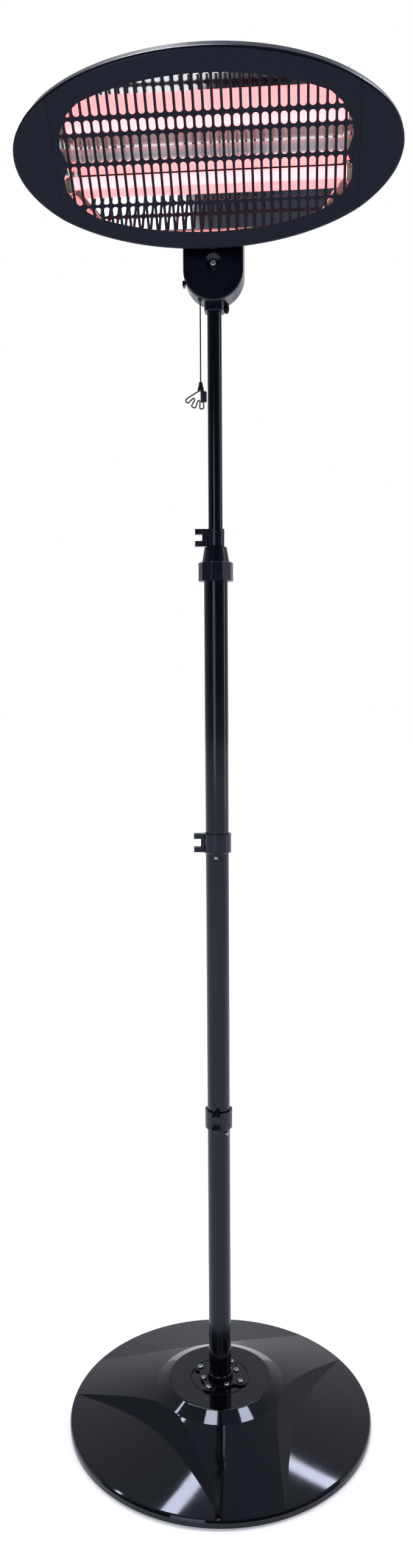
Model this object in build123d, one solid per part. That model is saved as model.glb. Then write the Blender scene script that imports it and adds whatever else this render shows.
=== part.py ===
"""Infrared patio heater tower: weighted base, telescopic mast, tilting three-tube head.

Millimetres. Origin on the floor at the mast axis, +Z up, the head faces -Y.
"""
from build123d import *
from math import cos, radians, sin, tan
import os

os.makedirs("parts", exist_ok=True)

# ---------------------------------------------------------------- base
BASE_RADIUS = 217.0
COVER_WALL = 1.5
COVER_LIP_LOW = 3.0            # underside of the rim above the floor
RIM_TOP = 14.0
RIM_INSET = 5.0                # the dome starts this far inside the rim
HUB_FOOT_RADIUS = 92.0
HUB_FOOT_HEIGHT = 51.0
HUB_TOP_RADIUS = 73.0
HUB_HEIGHT = 60.0
SCOOP_COUNT = 3
SCOOP_FIRST_ANGLE = -14.0      # direction of the first scoop, from +X
SCOOP_REACH = 118.0            # hub axis to the nearest point of the scoop's floor
SCOOP_DEPTH = 12.0             # step height at that point
SCOOP_WALL_RUN = 1.32          # run of the sloping wall for each unit of rise
GROOVE_RADIUS = 41.0
GROOVE_WIDTH = 2.4
FOOT_COUNT = 6
FOOT_RADIUS = 11.0
FOOT_HEIGHT = 4.0
FOOT_INSET = 23.0              # middle of a foot inside the rim
FOOT_CIRCLE = BASE_RADIUS - FOOT_INSET
PAN_THICKNESS = 1.5
PAN_GAP = 0.5                  # pan edge to the inside of the cover
WEIGHT_INSET = 47.0            # weight's edge inside the rim
WEIGHT_RADIUS = BASE_RADIUS - WEIGHT_INSET
WEIGHT_THICKNESS = 11.5
WEIGHT_HUB_RADIUS = 82.0
WEIGHT_HUB_THICKNESS = 28.0
WEIGHT_BORE = 30.0
PAN_SCREW_COUNT = 3
PAN_SCREW_CIRCLE = 120.0
BACKING_RADIUS = 46.0
BACKING_THICKNESS = 2.5

# ---------------------------------------------------------------- mast flange
FLANGE_RADIUS = 29.5
FLANGE_THICKNESS = 3.0
LOBE_RADIUS = 8.5
OUTER_SCREW_CIRCLE = 33.0
OUTER_SCREW_ANGLE = 65.0
INNER_SCREW_CIRCLE = 25.0
INNER_SCREW_ANGLE = 25.0
SCREWS_PER_RING = 4
SCREW_HEAD_RADIUS = 4.0
SCREW_HEAD_HEIGHT = 2.6
SCREW_SHANK_RADIUS = 2.0
SCREW_HOLE_GAP = 0.15
FOOT_RING_WALL = 2.4
FOOT_RING_HEIGHT = 7.0

# ---------------------------------------------------------------- mast
TUBE_RADIUS = 16.0
TUBE_WALL = 1.2
SWAGE_GAP = 0.2                # swaged top to the bore of the tube above
SWAGE_LENGTH = 45.0
FIRST_JOINT = 411.0            # height of the joint above the floor
SECTION_LENGTH = 393.5         # joint to joint
OUTER_TUBE_TOP = 1205.7
BUTTON_ABOVE_JOINT = 21.5
BUTTON_RADIUS = 3.0
BUTTON_PROUD = 2.4             # stands out of the tube
BUTTON_TRAVEL = 3.0
BUTTON_GAP = 0.25
BUTTON_SHOULDER_RADIUS = 4.6
BUTTON_SHOULDER_THICKNESS = 1.6
LOWER_BUTTON_ANGLE = -43.0
UPPER_BUTTON_ANGLE = -92.0
SPRING_THICKNESS = 0.6
SPRING_WIDTH = 8.0
SPRING_LENGTH = 34.0
INNER_RADIUS = 9.5
INNER_WALL = 1.0
INNER_BOTTOM = 1005.0
RUNNING_GAP = 0.3              # between round pieces that turn or slide

# ---------------------------------------------------------------- mast lock
NUT_LOW = 1199.5
NUT_HEIGHT = 25.0
NUT_RADIUS = 23.3              # to the corners of its facets
NUT_SIDES = 10
NUT_ANGLE = 8.0
NUT_CORNER = 1.8
NUT_CHAMFER = 1.2
NUT_BORE_GAP = 0.3
COLLET_THREAD_RADIUS = 17.0
COLLET_STEM_LENGTH = 18.0
CONE_HEIGHT = 19.5
CONE_LOW_RADIUS = 18.2
CONE_TOP_RADIUS = 15.0
CONE_SLITS = 3
CONE_SLIT_WIDTH = 1.6
CONE_SLIT_ANGLE = -87.0
BUSH_LENGTH = 30.0
BUSH_FLOOR = 3.0
BUSH_HOLE = 6.0

# ---------------------------------------------------------------- cable clips
CLIP_HEIGHT = 26.5
CLIP_WALL = 3.0
CLIP_TOP_HEIGHT = 23.7
CLIP_TOP_WALL = 2.0
CLIP_FINGER_WIDTH = 11.5
CLIP_FINGER_HEIGHT = 7.0
CLIP_BLOCK = 3.2               # solid block behind the fingers
CLIP_TOP_BLOCK = 6.2
CLIP_FINGER_LENGTH = 9.5
CLIP_ABOVE_BUTTON = 2.0
CLIP_TOP_ANGLE = 185.0
CLIP_MIDDLE_ANGLE = 185.0
CLIP_LOWER_ANGLE = -94.0

# ---------------------------------------------------------------- neck
NECK_HALF_WIDTH = 39.0
PIVOT_HEIGHT = 1682.0
NECK_DROP = 125.4              # pivot to the neck's foot
NECK_BOTTOM = PIVOT_HEIGHT - NECK_DROP
NECK_FRONT = -18.0
NECK_DEPTH = 38.0
NECK_WALL = 2.5
INNER_INSERT = 16.0            # inner tube into the neck
INNER_TOP = NECK_BOTTOM + INNER_INSERT
FACE_BORDER = 6.4
FACE_RECESS = 1.2
DIMPLE_RADIUS = 24.0
DIMPLE_RIM = 1.5               # its edge inside the wall that backs it
DIMPLE_ABOVE_FOOT = 12.5
DIMPLE_HEIGHT = NECK_BOTTOM + DIMPLE_ABOVE_FOOT
DIMPLE_DEPTH = 0.8
SCREW_ABOVE_FOOT = 48.6
SCREW_DIMPLE_HEIGHT = NECK_BOTTOM + SCREW_ABOVE_FOOT
SCREW_DIMPLE_RADIUS = 12.0
SCREW_CUP_DEPTH = 3.4
CATCH_ABOVE_FOOT = 20.4         # small catch on the neck's left side
CATCH_LOW = NECK_BOTTOM + CATCH_ABOVE_FOOT
CATCH_HEIGHT = 6.5
CATCH_PROUD = 1.2
CATCH_DEPTH = 10.0
COLLAR_SIDE = 25.5
COLLAR_HEIGHT = 12.2
COLLAR_CORNER = 7.0
COLLAR_SEAT_GAP = 0.2
COLLAR_BOSS_RADIUS = 12.5
COLLAR_BOSS_ABOVE_FOOT = 18.0
COLLAR_BOSS_TOP = NECK_BOTTOM + COLLAR_BOSS_ABOVE_FOOT
BOLT_RADIUS = 4.0
BOLT_GAP = 0.2
WASHER_RADIUS = 13.0
WASHER_THICKNESS = 1.0
SIDE_GAP = 0.15                # each face of a pivot washer
EAR_THICKNESS = 2.5
EAR_RADIUS = 12.0
SLEEVE_WALL = 2.2
KNOB_RADIUS = 17.0
KNOB_THICKNESS = 13.0
KNOB_LOBES = 5
KNOB_HUB_RADIUS = 9.0
BOLT_HEAD_RADIUS = 6.8
BOLT_HEAD_THICKNESS = 4.5

# ---------------------------------------------------------------- pull cord
CORD_X = -17.6
CORD_Y = -11.0
CORD_RADIUS = 0.9
CORD_TRAVEL = 10.0
GUIDE_RADIUS = 3.0
GUIDE_NOZZLE_RADIUS = 2.2
GUIDE_BORE = 1.3
GUIDE_FLANGE_RADIUS = 3.5
GUIDE_DROP = 2.5               # nozzle below the shell
CORD_HANG = 102.1              # guide to bell
BELL_TOP_RADIUS = 2.2
BELL_LOW_RADIUS = 4.2
BELL_HEIGHT = 11.0
LEVER_ARM = 21.6
LEVER_SWING = 26.0
LEVER_THICKNESS = 3.0
LEVER_WIDTH = 4.0
LEVER_ABOVE_FOOT = 26.5
LEVER_HEIGHT = NECK_BOTTOM + LEVER_ABOVE_FOOT
LEVER_BOSS_RADIUS = 4.0
LEVER_PIN_RADIUS = 1.5
KNOT_RADIUS = 2.0
FORK_SLOT = 2.6
SWITCH_WIDTH = 24.0
SWITCH_HEIGHT = 16.0
LOOP_ANGLES = (-60.0, -45.0, -32.0, -17.0, -4.0, 11.0)   # runs fan out below the bell
LOOP_START = 2.0
LOOP_NEAR = 14.0
LOOP_FAR = 21.5
TAG_WIDTH = 8.0
TAG_LENGTH = 14.0
TAG_THICKNESS = 2.2
TAG_SIDE_SHIFT = 3.5
TAG_BACK_SHIFT = 2.2

# ---------------------------------------------------------------- cable gland
GLAND_X = 15.0
GLAND_Y = 12.0
GLAND_RADIUS = 3.5
GLAND_NUT_RADIUS = 3.9
GLAND_TIP_RADIUS = 3.0
GLAND_BORE = 2.3
GLAND_DROP = 10.0
GLAND_NUT_DROP = 2.2           # nut's top below the shell
GLAND_NUT_HEIGHT = 4.0
TERMINAL_LEFT = 30.0           # left end from the neck's middle
TERMINAL_WIDTH = 28.0
TERMINAL_DEPTH = 11.9
TERMINAL_HEIGHT = 14.0
TERMINAL_ABOVE_FOOT = 75.4
TERMINAL_WAYS = 3
TERMINAL_PITCH = 9.0

# ---------------------------------------------------------------- head
HEAD_HALF_WIDTH = 234.2
HEAD_HALF_HEIGHT = 112.5
HEAD_TILT = 45.0
HEAD_FORWARD = 112.9           # middle of the rim ahead of the mast axis
HEAD_ABOVE_PIVOT = 15.8
HEAD_HEIGHT = PIVOT_HEIGHT + HEAD_ABOVE_PIVOT
FACE_FORWARD = 10.0            # grille face ahead of the rim plane
PANEL_WALL = 2.0
PANEL_SKIRT = 4.0              # skirt behind the rim plane
PANEL_EDGE_RADIUS = 4.0
CAP_LENGTH = 52.2              # end cap from seam to tip
CAP_SEAM = HEAD_HALF_WIDTH - CAP_LENGTH
CAP_SLOPE = 8.0
CAP_FOLD_RADIUS = 40.0
SEAM_GAP = 0.3
WINDOW_SIDE_BORDER = 57.2
WINDOW_TOP_BORDER = 22.5
WINDOW_HALF_WIDTH = HEAD_HALF_WIDTH - WINDOW_SIDE_BORDER
WINDOW_HALF_HEIGHT = HEAD_HALF_HEIGHT - WINDOW_TOP_BORDER
WINDOW_DROP = 3.15             # window centre below the head's centre
SLOT_PITCH = 11.0
SLOT_WIDTH = 7.8
SLOT_COLUMNS = 2 * int(WINDOW_HALF_WIDTH / SLOT_PITCH)
SLOT_ROUND = 3.6
SLOT_LEAST_AREA = 16.0
GRILLE_TOP_BORDER = 26.5       # the slots' outline inside the head's outline
GRILLE_LOW_BORDER = 22.0
GRILLE_UPPER_INSETS = ((87.2, 51.5), (74.2, 62.5), (62.2, 82.5), (60.4, 98.5))
GRILLE_NOTCH_INSET = 67.2
GRILLE_LOWER_INSETS = ((60.4, 92.5), (60.8, 79.5), (67.8, 65.9), (79.2, 54.0), (94.2, 44.3))
BAR_EDGES = (50.0, 46.0, 31.8, 28.5, -0.8, -3.9, -49.5, -52.5)
ROW_EDGES = (WINDOW_HALF_HEIGHT, *BAR_EDGES, -WINDOW_HALF_HEIGHT)
CASING_FRONT = -1.0            # the casing starts inside the skirt
CASING_SHOULDER = 12.0         # its sides slope in from here
CASING_DEPTH = 62.0
CASING_SIDE_TAPER = 39.0       # back face inside the head's outline
CASING_TOP_TAPER = 45.0
CASING_BACK_HALF_WIDTH = HEAD_HALF_WIDTH - CASING_SIDE_TAPER
CASING_BACK_HALF_HEIGHT = HEAD_HALF_HEIGHT - CASING_TOP_TAPER
CASING_WALL = 1.5
CASING_EDGE_RADIUS = 10.0
CASING_SKIRT_GAP = 0.3
VENT_COLUMNS = 11
VENT_ROWS = 2
VENT_PITCH = 13.0
VENT_WIDTH = 5.0
VENT_LENGTH = 26.0
VENT_ROW_OFFSET = 36.0
REFLECTOR_WALL = 1.0
REFLECTOR_BACK = 35.5
REFLECTOR_FRONT_INSETS = ((57.0, 62.0), (112.0, 25.0))   # corners inside the head's outline
REFLECTOR_BACK_INSETS = ((70.0, 82.5), (104.0, 62.5))
HEAT_TUBE_RADIUS = 7.0
HEAT_TUBE_WALL = 1.2
HEAT_TUBE_PITCH = 32.0
HEAT_TUBE_DROP = 4.0           # middle tube below the head's centre
HEAT_TUBE_INSET = 60.0         # tube's end inside the head's tip
HEAT_TUBE_HALF_LENGTH = HEAD_HALF_WIDTH - HEAT_TUBE_INSET
HEAT_TUBE_DEPTH = 14.0         # behind the rim plane
HEAT_TUBE_COUNT = 3
COIL_RADIUS = 4.2
COIL_INSET = 17.0              # winding's end inside the tube's end
COIL_HALF_LENGTH = HEAT_TUBE_HALF_LENGTH - COIL_INSET
COIL_LEAD_RADIUS = 1.0
COIL_WIRE = 0.8
COIL_END = 2.0
CERAMIC_LENGTH = 11.5
CERAMIC_SIDE = 15.6
CERAMIC_OVERLAP = 6.0          # cap over the tube's end
CERAMIC_GAP = 0.1
CERAMIC_HOLE_GAP = 0.6         # round a cap in the reflector's end
HOLDER_THICKNESS = 1.5
HOLDER_OUTSET = 2.6            # holder's middle beyond the tube's end
HOLDER_X = HEAT_TUBE_HALF_LENGTH + HOLDER_OUTSET
HOLDER_WIDTH = 24.0
HOLDER_HEIGHT = 100.0
HOLDER_FOOT = 12.0
HOLDER_SEAT_GAP = 0.3
LINK_THICKNESS = 1.0
LINK_WIDTH = 8.0
CUTOUT_RADIUS = 8.0
CUTOUT_THICKNESS = 5.0
CUTOUT_X = 120.0
BRACKET_THICKNESS = 2.5
BRACKET_GAP = 0.3
BRACKET_START = 8.0            # along the casing's lower slope, from its back edge
BRACKET_LENGTH = 34.0
CASING_SCREW_SIDE_INSET = 70.0
CASING_SCREW_TOP_INSET = 30.0
CASING_SCREW_X = CASING_BACK_HALF_WIDTH - CASING_SCREW_SIDE_INSET
CASING_SCREW_Z = CASING_BACK_HALF_HEIGHT - CASING_SCREW_TOP_INSET

# ---------------------------------------------------------------- worked out
BOTTOM = (Align.CENTER, Align.CENTER, Align.MIN)
SECOND_JOINT = FIRST_JOINT + SECTION_LENGTH
TUBE_BORE = TUBE_RADIUS - TUBE_WALL
SWAGE_RADIUS = TUBE_BORE - SWAGE_GAP
SWAGE_BORE = SWAGE_RADIUS - TUBE_WALL
PAN_LOW = FOOT_HEIGHT
PAN_TOP = PAN_LOW + PAN_THICKNESS
WEIGHT_TOP = PAN_TOP + WEIGHT_THICKNESS
BACKING_TOP = HUB_HEIGHT - COVER_WALL
FLANGE_TOP = HUB_HEIGHT + FLANGE_THICKNESS
SCREW_HOLE_RADIUS = SCREW_SHANK_RADIUS + SCREW_HOLE_GAP
NUT_TOP = NUT_LOW + NUT_HEIGHT
COLLET_FLANGE_LOW = OUTER_TUBE_TOP
CONE_LOW = NUT_TOP + 0.2
CONE_TOP = CONE_LOW + CONE_HEIGHT
COLLET_BORE = INNER_RADIUS + RUNNING_GAP
COLLAR_TOP = NECK_BOTTOM + 2.5
COLLAR_LOW = COLLAR_TOP - COLLAR_HEIGHT
NECK_BACK = NECK_FRONT + NECK_DEPTH
PIVOT_Y = (NECK_FRONT + NECK_BACK) / 2
NECK_ROUND = NECK_DEPTH / 2
NECK_ARC_CENTRE = NECK_BOTTOM + NECK_HALF_WIDTH
EAR_INSIDE = NECK_HALF_WIDTH + WASHER_THICKNESS + 2 * SIDE_GAP
EAR_OUTSIDE = EAR_INSIDE + EAR_THICKNESS
TUBE_WALL_Y = REFLECTOR_BACK + REFLECTOR_WALL


# ---------------------------------------------------------------- helpers
def disc(radius, low, high):
    """Upright cylinder on the mast axis between two heights."""
    return Pos(0, 0, low) * Cylinder(radius, high - low, align=BOTTOM)


def ring(outer, inner, low, high):
    """Upright ring on the mast axis."""
    return disc(outer, low, high) - disc(inner, low - 1, high + 1)


def turned(points):
    """Solid of revolution about the mast axis from (radius, height) points."""
    outline = [(r, 0, z) for r, z in points]
    return revolve(make_face(Polyline(*outline, close=True)), Axis.Z)


def around(shape, count, first_angle):
    """Copies of a shape turned about the mast axis."""
    return [Rot(0, 0, first_angle + k * 360 / count) * shape for k in range(count)]


def facing(y):
    """Upright plane at depth y: sketch x is +X, sketch y is +Z, its normal is -Y."""
    return Plane(origin=(0, y, 0), x_dir=(1, 0, 0), z_dir=(0, -1, 0))


def slab(sketch, front, back):
    """A sketch given its thickness between two depths."""
    return extrude(facing(back) * sketch, amount=back - front)


def rod_x(radius, start, end, y, z):
    """Cylinder along X."""
    length = end - start
    return Pos(start, y, z) * Rot(0, 90, 0) * Cylinder(radius, length, align=BOTTOM)


def rod_y(radius, start, end, x, z):
    """Cylinder along Y."""
    length = end - start
    return Pos(x, start, z) * Rot(-90, 0, 0) * Cylinder(radius, length, align=BOTTOM)


def box_between(low, high):
    """Box from its lowest corner to its highest corner."""
    size = [high[k] - low[k] for k in range(3)]
    corner = (Align.MIN, Align.MIN, Align.MIN)
    return Pos(*low) * Box(*size, align=corner)


def pan_screw(head_radius, head_height, shank_radius, length):
    """Pan head screw standing on z = 0 with a cross recess, shank downwards."""
    head = Cylinder(head_radius, head_height, align=BOTTOM)
    head = fillet(head.edges().group_by(Axis.Z)[-1], head_height * 0.6)
    cross = Box(head_radius * 1.1, 0.9, 2.4) + Box(0.9, head_radius * 1.1, 2.4)
    shank = Pos(0, 0, -length) * Cylinder(shank_radius, length, align=BOTTOM)
    return head - Pos(0, 0, head_height) * cross + shank


def save(shape, name):
    """Write one sub-part; a list becomes one group of separate solids."""
    if isinstance(shape, (list, tuple)):
        shape = Compound(children=[s for item in shape for s in item.solids()])
    export_step(shape, f"parts/{name}.step")


# ---------------------------------------------------------------- base
def dome(inset):
    """Solid of the base cover's outer skin, drawn in by a wall thickness."""
    shoulder = 6.0
    slope = (HUB_FOOT_HEIGHT - RIM_TOP) / (BASE_RADIUS - RIM_INSET - HUB_FOOT_RADIUS)
    low = COVER_LIP_LOW if inset == 0 else COVER_LIP_LOW - 2
    rim = BASE_RADIUS - inset
    dome_foot = BASE_RADIUS - RIM_INSET - inset * slope
    points = [
        (0, low),
        (rim, low),
        (rim, RIM_TOP - inset - 4),
        (rim - 1.4, RIM_TOP - inset - 1.2),
        (dome_foot, RIM_TOP - inset),
        (HUB_FOOT_RADIUS - inset * slope, HUB_FOOT_HEIGHT - inset),
        (HUB_TOP_RADIUS - inset, HUB_HEIGHT - inset),
        (0, HUB_HEIGHT - inset),
    ]
    body = turned(points)
    hub_edges = body.edges().filter_by(GeomType.CIRCLE).group_by(SortBy.RADIUS)
    foot_edge = [e for g in hub_edges for e in g if abs(e.radius - points[5][0]) < 0.01]
    top_edge = [e for g in hub_edges for e in g if abs(e.radius - points[6][0]) < 0.01]
    body = fillet(foot_edge + top_edge, shoulder)
    return body


def scoop(angle, inset):
    """What a scoop takes out of the dome: above a shallow floor, beyond a sloping wall."""
    reach_height = HUB_FOOT_HEIGHT - (SCOOP_REACH - HUB_FOOT_RADIUS) * (
        (HUB_FOOT_HEIGHT - RIM_TOP) / (BASE_RADIUS - RIM_INSET - HUB_FOOT_RADIUS)
    )
    floor_high = reach_height - SCOOP_DEPTH
    rim_start = BASE_RADIUS - RIM_INSET - 1
    floor_slope = (floor_high - RIM_TOP) / (rim_start - SCOOP_REACH)
    beyond = BASE_RADIUS + 20
    floor_beyond = RIM_TOP - (beyond - rim_start) * floor_slope
    above = turned([
        (HUB_TOP_RADIUS, floor_high + (SCOOP_REACH - HUB_TOP_RADIUS) * floor_slope - inset),
        (beyond, floor_beyond - inset),
        (beyond, HUB_HEIGHT + 20),
        (HUB_TOP_RADIUS, HUB_HEIGHT + 20),
    ])
    drop = 20.0
    wall = [
        (SCOOP_REACH + drop * SCOOP_WALL_RUN - inset, floor_high - drop),
        (beyond, floor_high - drop),
        (beyond, HUB_HEIGHT + 30),
        (SCOOP_REACH - (HUB_HEIGHT + 30 - floor_high) * SCOOP_WALL_RUN - inset, HUB_HEIGHT + 30),
    ]
    outline = make_face(Polyline(*[(x, 0, z) for x, z in wall], close=True))
    block = extrude(outline, amount=beyond, both=True)
    return Rot(0, 0, angle) * (block & above)


def make_base_cover():
    outer = dome(0)
    inner = dome(COVER_WALL)
    for k in range(SCOOP_COUNT):
        angle = SCOOP_FIRST_ANGLE + k * 360 / SCOOP_COUNT
        outer = outer - scoop(angle, 0)
        inner = inner - scoop(angle, COVER_WALL * 1.3)
    cover = outer - inner
    half = GROOVE_WIDTH / 2
    groove = turned([
        (GROOVE_RADIUS - half, HUB_HEIGHT + 0.1),
        (GROOVE_RADIUS, HUB_HEIGHT - 0.8),
        (GROOVE_RADIUS + half, HUB_HEIGHT + 0.1),
    ])
    cover = cover - groove
    for hole in flange_holes(HUB_HEIGHT - COVER_WALL - 1, HUB_HEIGHT + 1):
        cover = cover - hole
    return cover


def flange_positions():
    """Angle and distance of each flange screw."""
    step = 360 / SCREWS_PER_RING
    inner = [(INNER_SCREW_ANGLE + k * step, INNER_SCREW_CIRCLE) for k in range(SCREWS_PER_RING)]
    outer = [(OUTER_SCREW_ANGLE + k * step, OUTER_SCREW_CIRCLE) for k in range(SCREWS_PER_RING)]
    return inner, outer


def flange_holes(low, high):
    inner, outer = flange_positions()
    return [Rot(0, 0, a) * Pos(r, 0, 0) * disc(SCREW_HOLE_RADIUS, low, high) for a, r in inner + outer]


def make_base_pan():
    pan = disc(BASE_RADIUS - COVER_WALL - PAN_GAP, PAN_LOW, PAN_TOP)
    hole = Pos(PAN_SCREW_CIRCLE, 0, 0) * disc(SCREW_HOLE_RADIUS, PAN_LOW - 1, PAN_TOP + 1)
    for cut in around(hole, PAN_SCREW_COUNT, 0):
        pan = pan - cut
    return pan


def make_rubber_feet():
    foot = Cylinder(FOOT_RADIUS, FOOT_HEIGHT, align=BOTTOM)
    foot = fillet(foot.edges().group_by(Axis.Z)[0], 1.0)
    return around(Pos(FOOT_CIRCLE, 0, 0) * foot, FOOT_COUNT, 30)


def make_base_weight():
    body = disc(WEIGHT_RADIUS, PAN_TOP, WEIGHT_TOP)
    body = body + disc(WEIGHT_HUB_RADIUS, WEIGHT_TOP - 0.5, WEIGHT_TOP + WEIGHT_HUB_THICKNESS)
    body = body - disc(WEIGHT_BORE, PAN_TOP - 1, HUB_HEIGHT)
    hole = Pos(PAN_SCREW_CIRCLE, 0, 0) * disc(SCREW_HOLE_RADIUS, PAN_TOP - 1, PAN_TOP + 10)
    for cut in around(hole, PAN_SCREW_COUNT, 0):
        body = body - cut
    return body


def make_pan_screws():
    screw = pan_screw(3.8, 1.6, SCREW_SHANK_RADIUS, PAN_THICKNESS + 8)
    screw = Pos(PAN_SCREW_CIRCLE, 0, PAN_LOW) * Rot(180, 0, 0) * screw
    return around(screw, PAN_SCREW_COUNT, 0)


def make_backing_plate():
    plate = disc(BACKING_RADIUS, BACKING_TOP - BACKING_THICKNESS, BACKING_TOP)
    for hole in flange_holes(BACKING_TOP - BACKING_THICKNESS - 1, BACKING_TOP + 1):
        plate = plate - hole
    return plate


def make_mast_flange():
    plate = disc(FLANGE_RADIUS, HUB_HEIGHT, FLANGE_TOP)
    lobe = Pos(OUTER_SCREW_CIRCLE, 0, 0) * disc(LOBE_RADIUS, HUB_HEIGHT, FLANGE_TOP)
    for piece in around(lobe, SCREWS_PER_RING, OUTER_SCREW_ANGLE):
        plate = plate + piece
    upright = [e for e in plate.edges().filter_by(Axis.Z) if e.length > FLANGE_THICKNESS * 0.9]
    plate = fillet(upright, 5.0)
    plate = chamfer(plate.edges().group_by(Axis.Z)[-1], 0.7)
    plate = plate - disc(TUBE_RADIUS + SCREW_HOLE_GAP, HUB_HEIGHT - 1, FLANGE_TOP + 1)
    for hole in flange_holes(HUB_HEIGHT - 1, FLANGE_TOP + 1):
        plate = plate - hole
    return plate


def make_flange_screws(positions, length):
    screw = pan_screw(SCREW_HEAD_RADIUS, SCREW_HEAD_HEIGHT, SCREW_SHANK_RADIUS, length)
    return [Rot(0, 0, a) * Pos(r, 0, FLANGE_TOP) * Rot(0, 0, 17 * k) * screw
            for k, (a, r) in enumerate(positions)]


def make_tube_foot():
    outer = TUBE_RADIUS + FOOT_RING_WALL
    body = ring(outer, TUBE_RADIUS + 0.05, FLANGE_TOP, FLANGE_TOP + FOOT_RING_HEIGHT)
    return fillet(body.edges().group_by(Axis.Z)[-1].sort_by(Edge.length)[-1], 1.6)


# ---------------------------------------------------------------- mast
def mast_tube(low, joint, spigot):
    """A mast section; with a spigot its top is swaged to enter the tube above."""
    if not spigot:
        return ring(TUBE_RADIUS, TUBE_BORE, low, joint)
    return turned([
        (TUBE_BORE, low), (TUBE_RADIUS, low), (TUBE_RADIUS, joint), (SWAGE_RADIUS, joint),
        (SWAGE_RADIUS, joint + SWAGE_LENGTH), (SWAGE_BORE, joint + SWAGE_LENGTH),
        (SWAGE_BORE, joint - 3), (TUBE_BORE, joint - 6),
    ])


def button_hole(joint, angle):
    """Hole for a snap button, right through one side of a tube."""
    hole = rod_x(BUTTON_RADIUS + BUTTON_GAP, SWAGE_BORE - 4, TUBE_RADIUS + 3, 0,
                 joint + BUTTON_ABOVE_JOINT)
    return Rot(0, 0, angle) * hole


def make_lower_tube():
    return mast_tube(HUB_HEIGHT, FIRST_JOINT, True) - button_hole(FIRST_JOINT, LOWER_BUTTON_ANGLE)


def make_middle_tube():
    body = mast_tube(FIRST_JOINT, SECOND_JOINT, True)
    body = body - button_hole(FIRST_JOINT, LOWER_BUTTON_ANGLE)
    return body - button_hole(SECOND_JOINT, UPPER_BUTTON_ANGLE)


def make_outer_tube():
    body = mast_tube(SECOND_JOINT, OUTER_TUBE_TOP, False)
    return body - button_hole(SECOND_JOINT, UPPER_BUTTON_ANGLE)


def make_snap_button(joint, angle):
    tip = TUBE_RADIUS + BUTTON_PROUD
    shoulder_out = SWAGE_BORE - 0.9
    height = joint + BUTTON_ABOVE_JOINT
    pin = rod_x(BUTTON_RADIUS, shoulder_out - 0.2, tip, 0, height)
    pin = fillet(pin.edges().group_by(Axis.X)[-1], BUTTON_RADIUS * 0.6)
    shoulder = rod_x(BUTTON_SHOULDER_RADIUS, shoulder_out - BUTTON_SHOULDER_THICKNESS,
                     shoulder_out, 0, height)
    return Rot(0, 0, angle) * (pin + shoulder)


def make_leaf_spring(joint, angle):
    """Folded leaf inside the swaged top; it leaves room for the pressed button."""
    height = joint + BUTTON_ABOVE_JOINT
    shoulder_back = SWAGE_BORE - 0.9 - BUTTON_SHOULDER_THICKNESS
    near = shoulder_back - BUTTON_TRAVEL - 0.4
    half = SPRING_WIDTH / 2
    far = -((SWAGE_BORE - 0.1) ** 2 - half ** 2) ** 0.5
    t = SPRING_THICKNESS
    low = height - SPRING_LENGTH
    outline = [
        (near - t, height + 6), (near, height + 6), (near, height - 10), (far + 5, low),
        (far + 1.5, low), (far, low + 4), (far, height + 2), (far + t, height + 2),
        (far + t, low + 4.4), (far + 2.0, low + t), (far + 4.6, low + t), (near - t, height - 9.6),
    ]
    face = make_face(Polyline(*[(x, 0, z) for x, z in outline], close=True))
    return Rot(0, 0, angle) * extrude(face, amount=half, both=True)


def make_inner_tube():
    return ring(INNER_RADIUS, INNER_RADIUS - INNER_WALL, INNER_BOTTOM, INNER_TOP)


def make_guide_bush():
    """Plastic bush at the foot of the inner tube; the tube turns in it."""
    outer = TUBE_BORE - RUNNING_GAP
    top = INNER_BOTTOM + BUSH_LENGTH
    low = INNER_BOTTOM - RUNNING_GAP - BUSH_FLOOR
    body = disc(outer, low, top) - disc(INNER_RADIUS + RUNNING_GAP, INNER_BOTTOM - RUNNING_GAP, top + 1)
    body = body - disc(BUSH_HOLE, low - 1, top)
    return chamfer(body.edges().group_by(Axis.Z)[0].sort_by(Edge.length)[-1], 1.0)


def make_collet():
    """Split cone that grips the inner tube, with the thread under the nut and a stem."""
    body = turned([
        (COLLET_BORE, COLLET_FLANGE_LOW - COLLET_STEM_LENGTH),
        (TUBE_BORE - 0.15, COLLET_FLANGE_LOW - COLLET_STEM_LENGTH),
        (TUBE_BORE - 0.15, COLLET_FLANGE_LOW),
        (COLLET_THREAD_RADIUS, COLLET_FLANGE_LOW),
        (COLLET_THREAD_RADIUS, CONE_LOW),
        (CONE_LOW_RADIUS, CONE_LOW),
        (CONE_TOP_RADIUS, CONE_TOP),
        (COLLET_BORE + 1.2, CONE_TOP),
        (COLLET_BORE, CONE_TOP - 1.6),
    ])
    slit = box_between((0, -CONE_SLIT_WIDTH / 2, CONE_LOW + 1.5),
                       (CONE_LOW_RADIUS + 1, CONE_SLIT_WIDTH / 2, CONE_TOP + 1))
    for cut in around(slit, CONE_SLITS, CONE_SLIT_ANGLE):
        body = body - cut
    return body


def make_lock_nut():
    outline = RegularPolygon(NUT_RADIUS, NUT_SIDES)
    outline = fillet(outline.vertices(), NUT_CORNER)
    body = Pos(0, 0, NUT_LOW) * Rot(0, 0, NUT_ANGLE) * extrude(outline, amount=NUT_HEIGHT)
    body = chamfer(body.edges().group_by(Axis.Z)[-1], NUT_CHAMFER)
    bore = disc(COLLET_THREAD_RADIUS + NUT_BORE_GAP, COLLET_FLANGE_LOW - 0.3, NUT_TOP + 1)
    lip = disc(TUBE_RADIUS + NUT_BORE_GAP, NUT_LOW - 1, NUT_TOP)
    body = body - bore - lip
    return body


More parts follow.
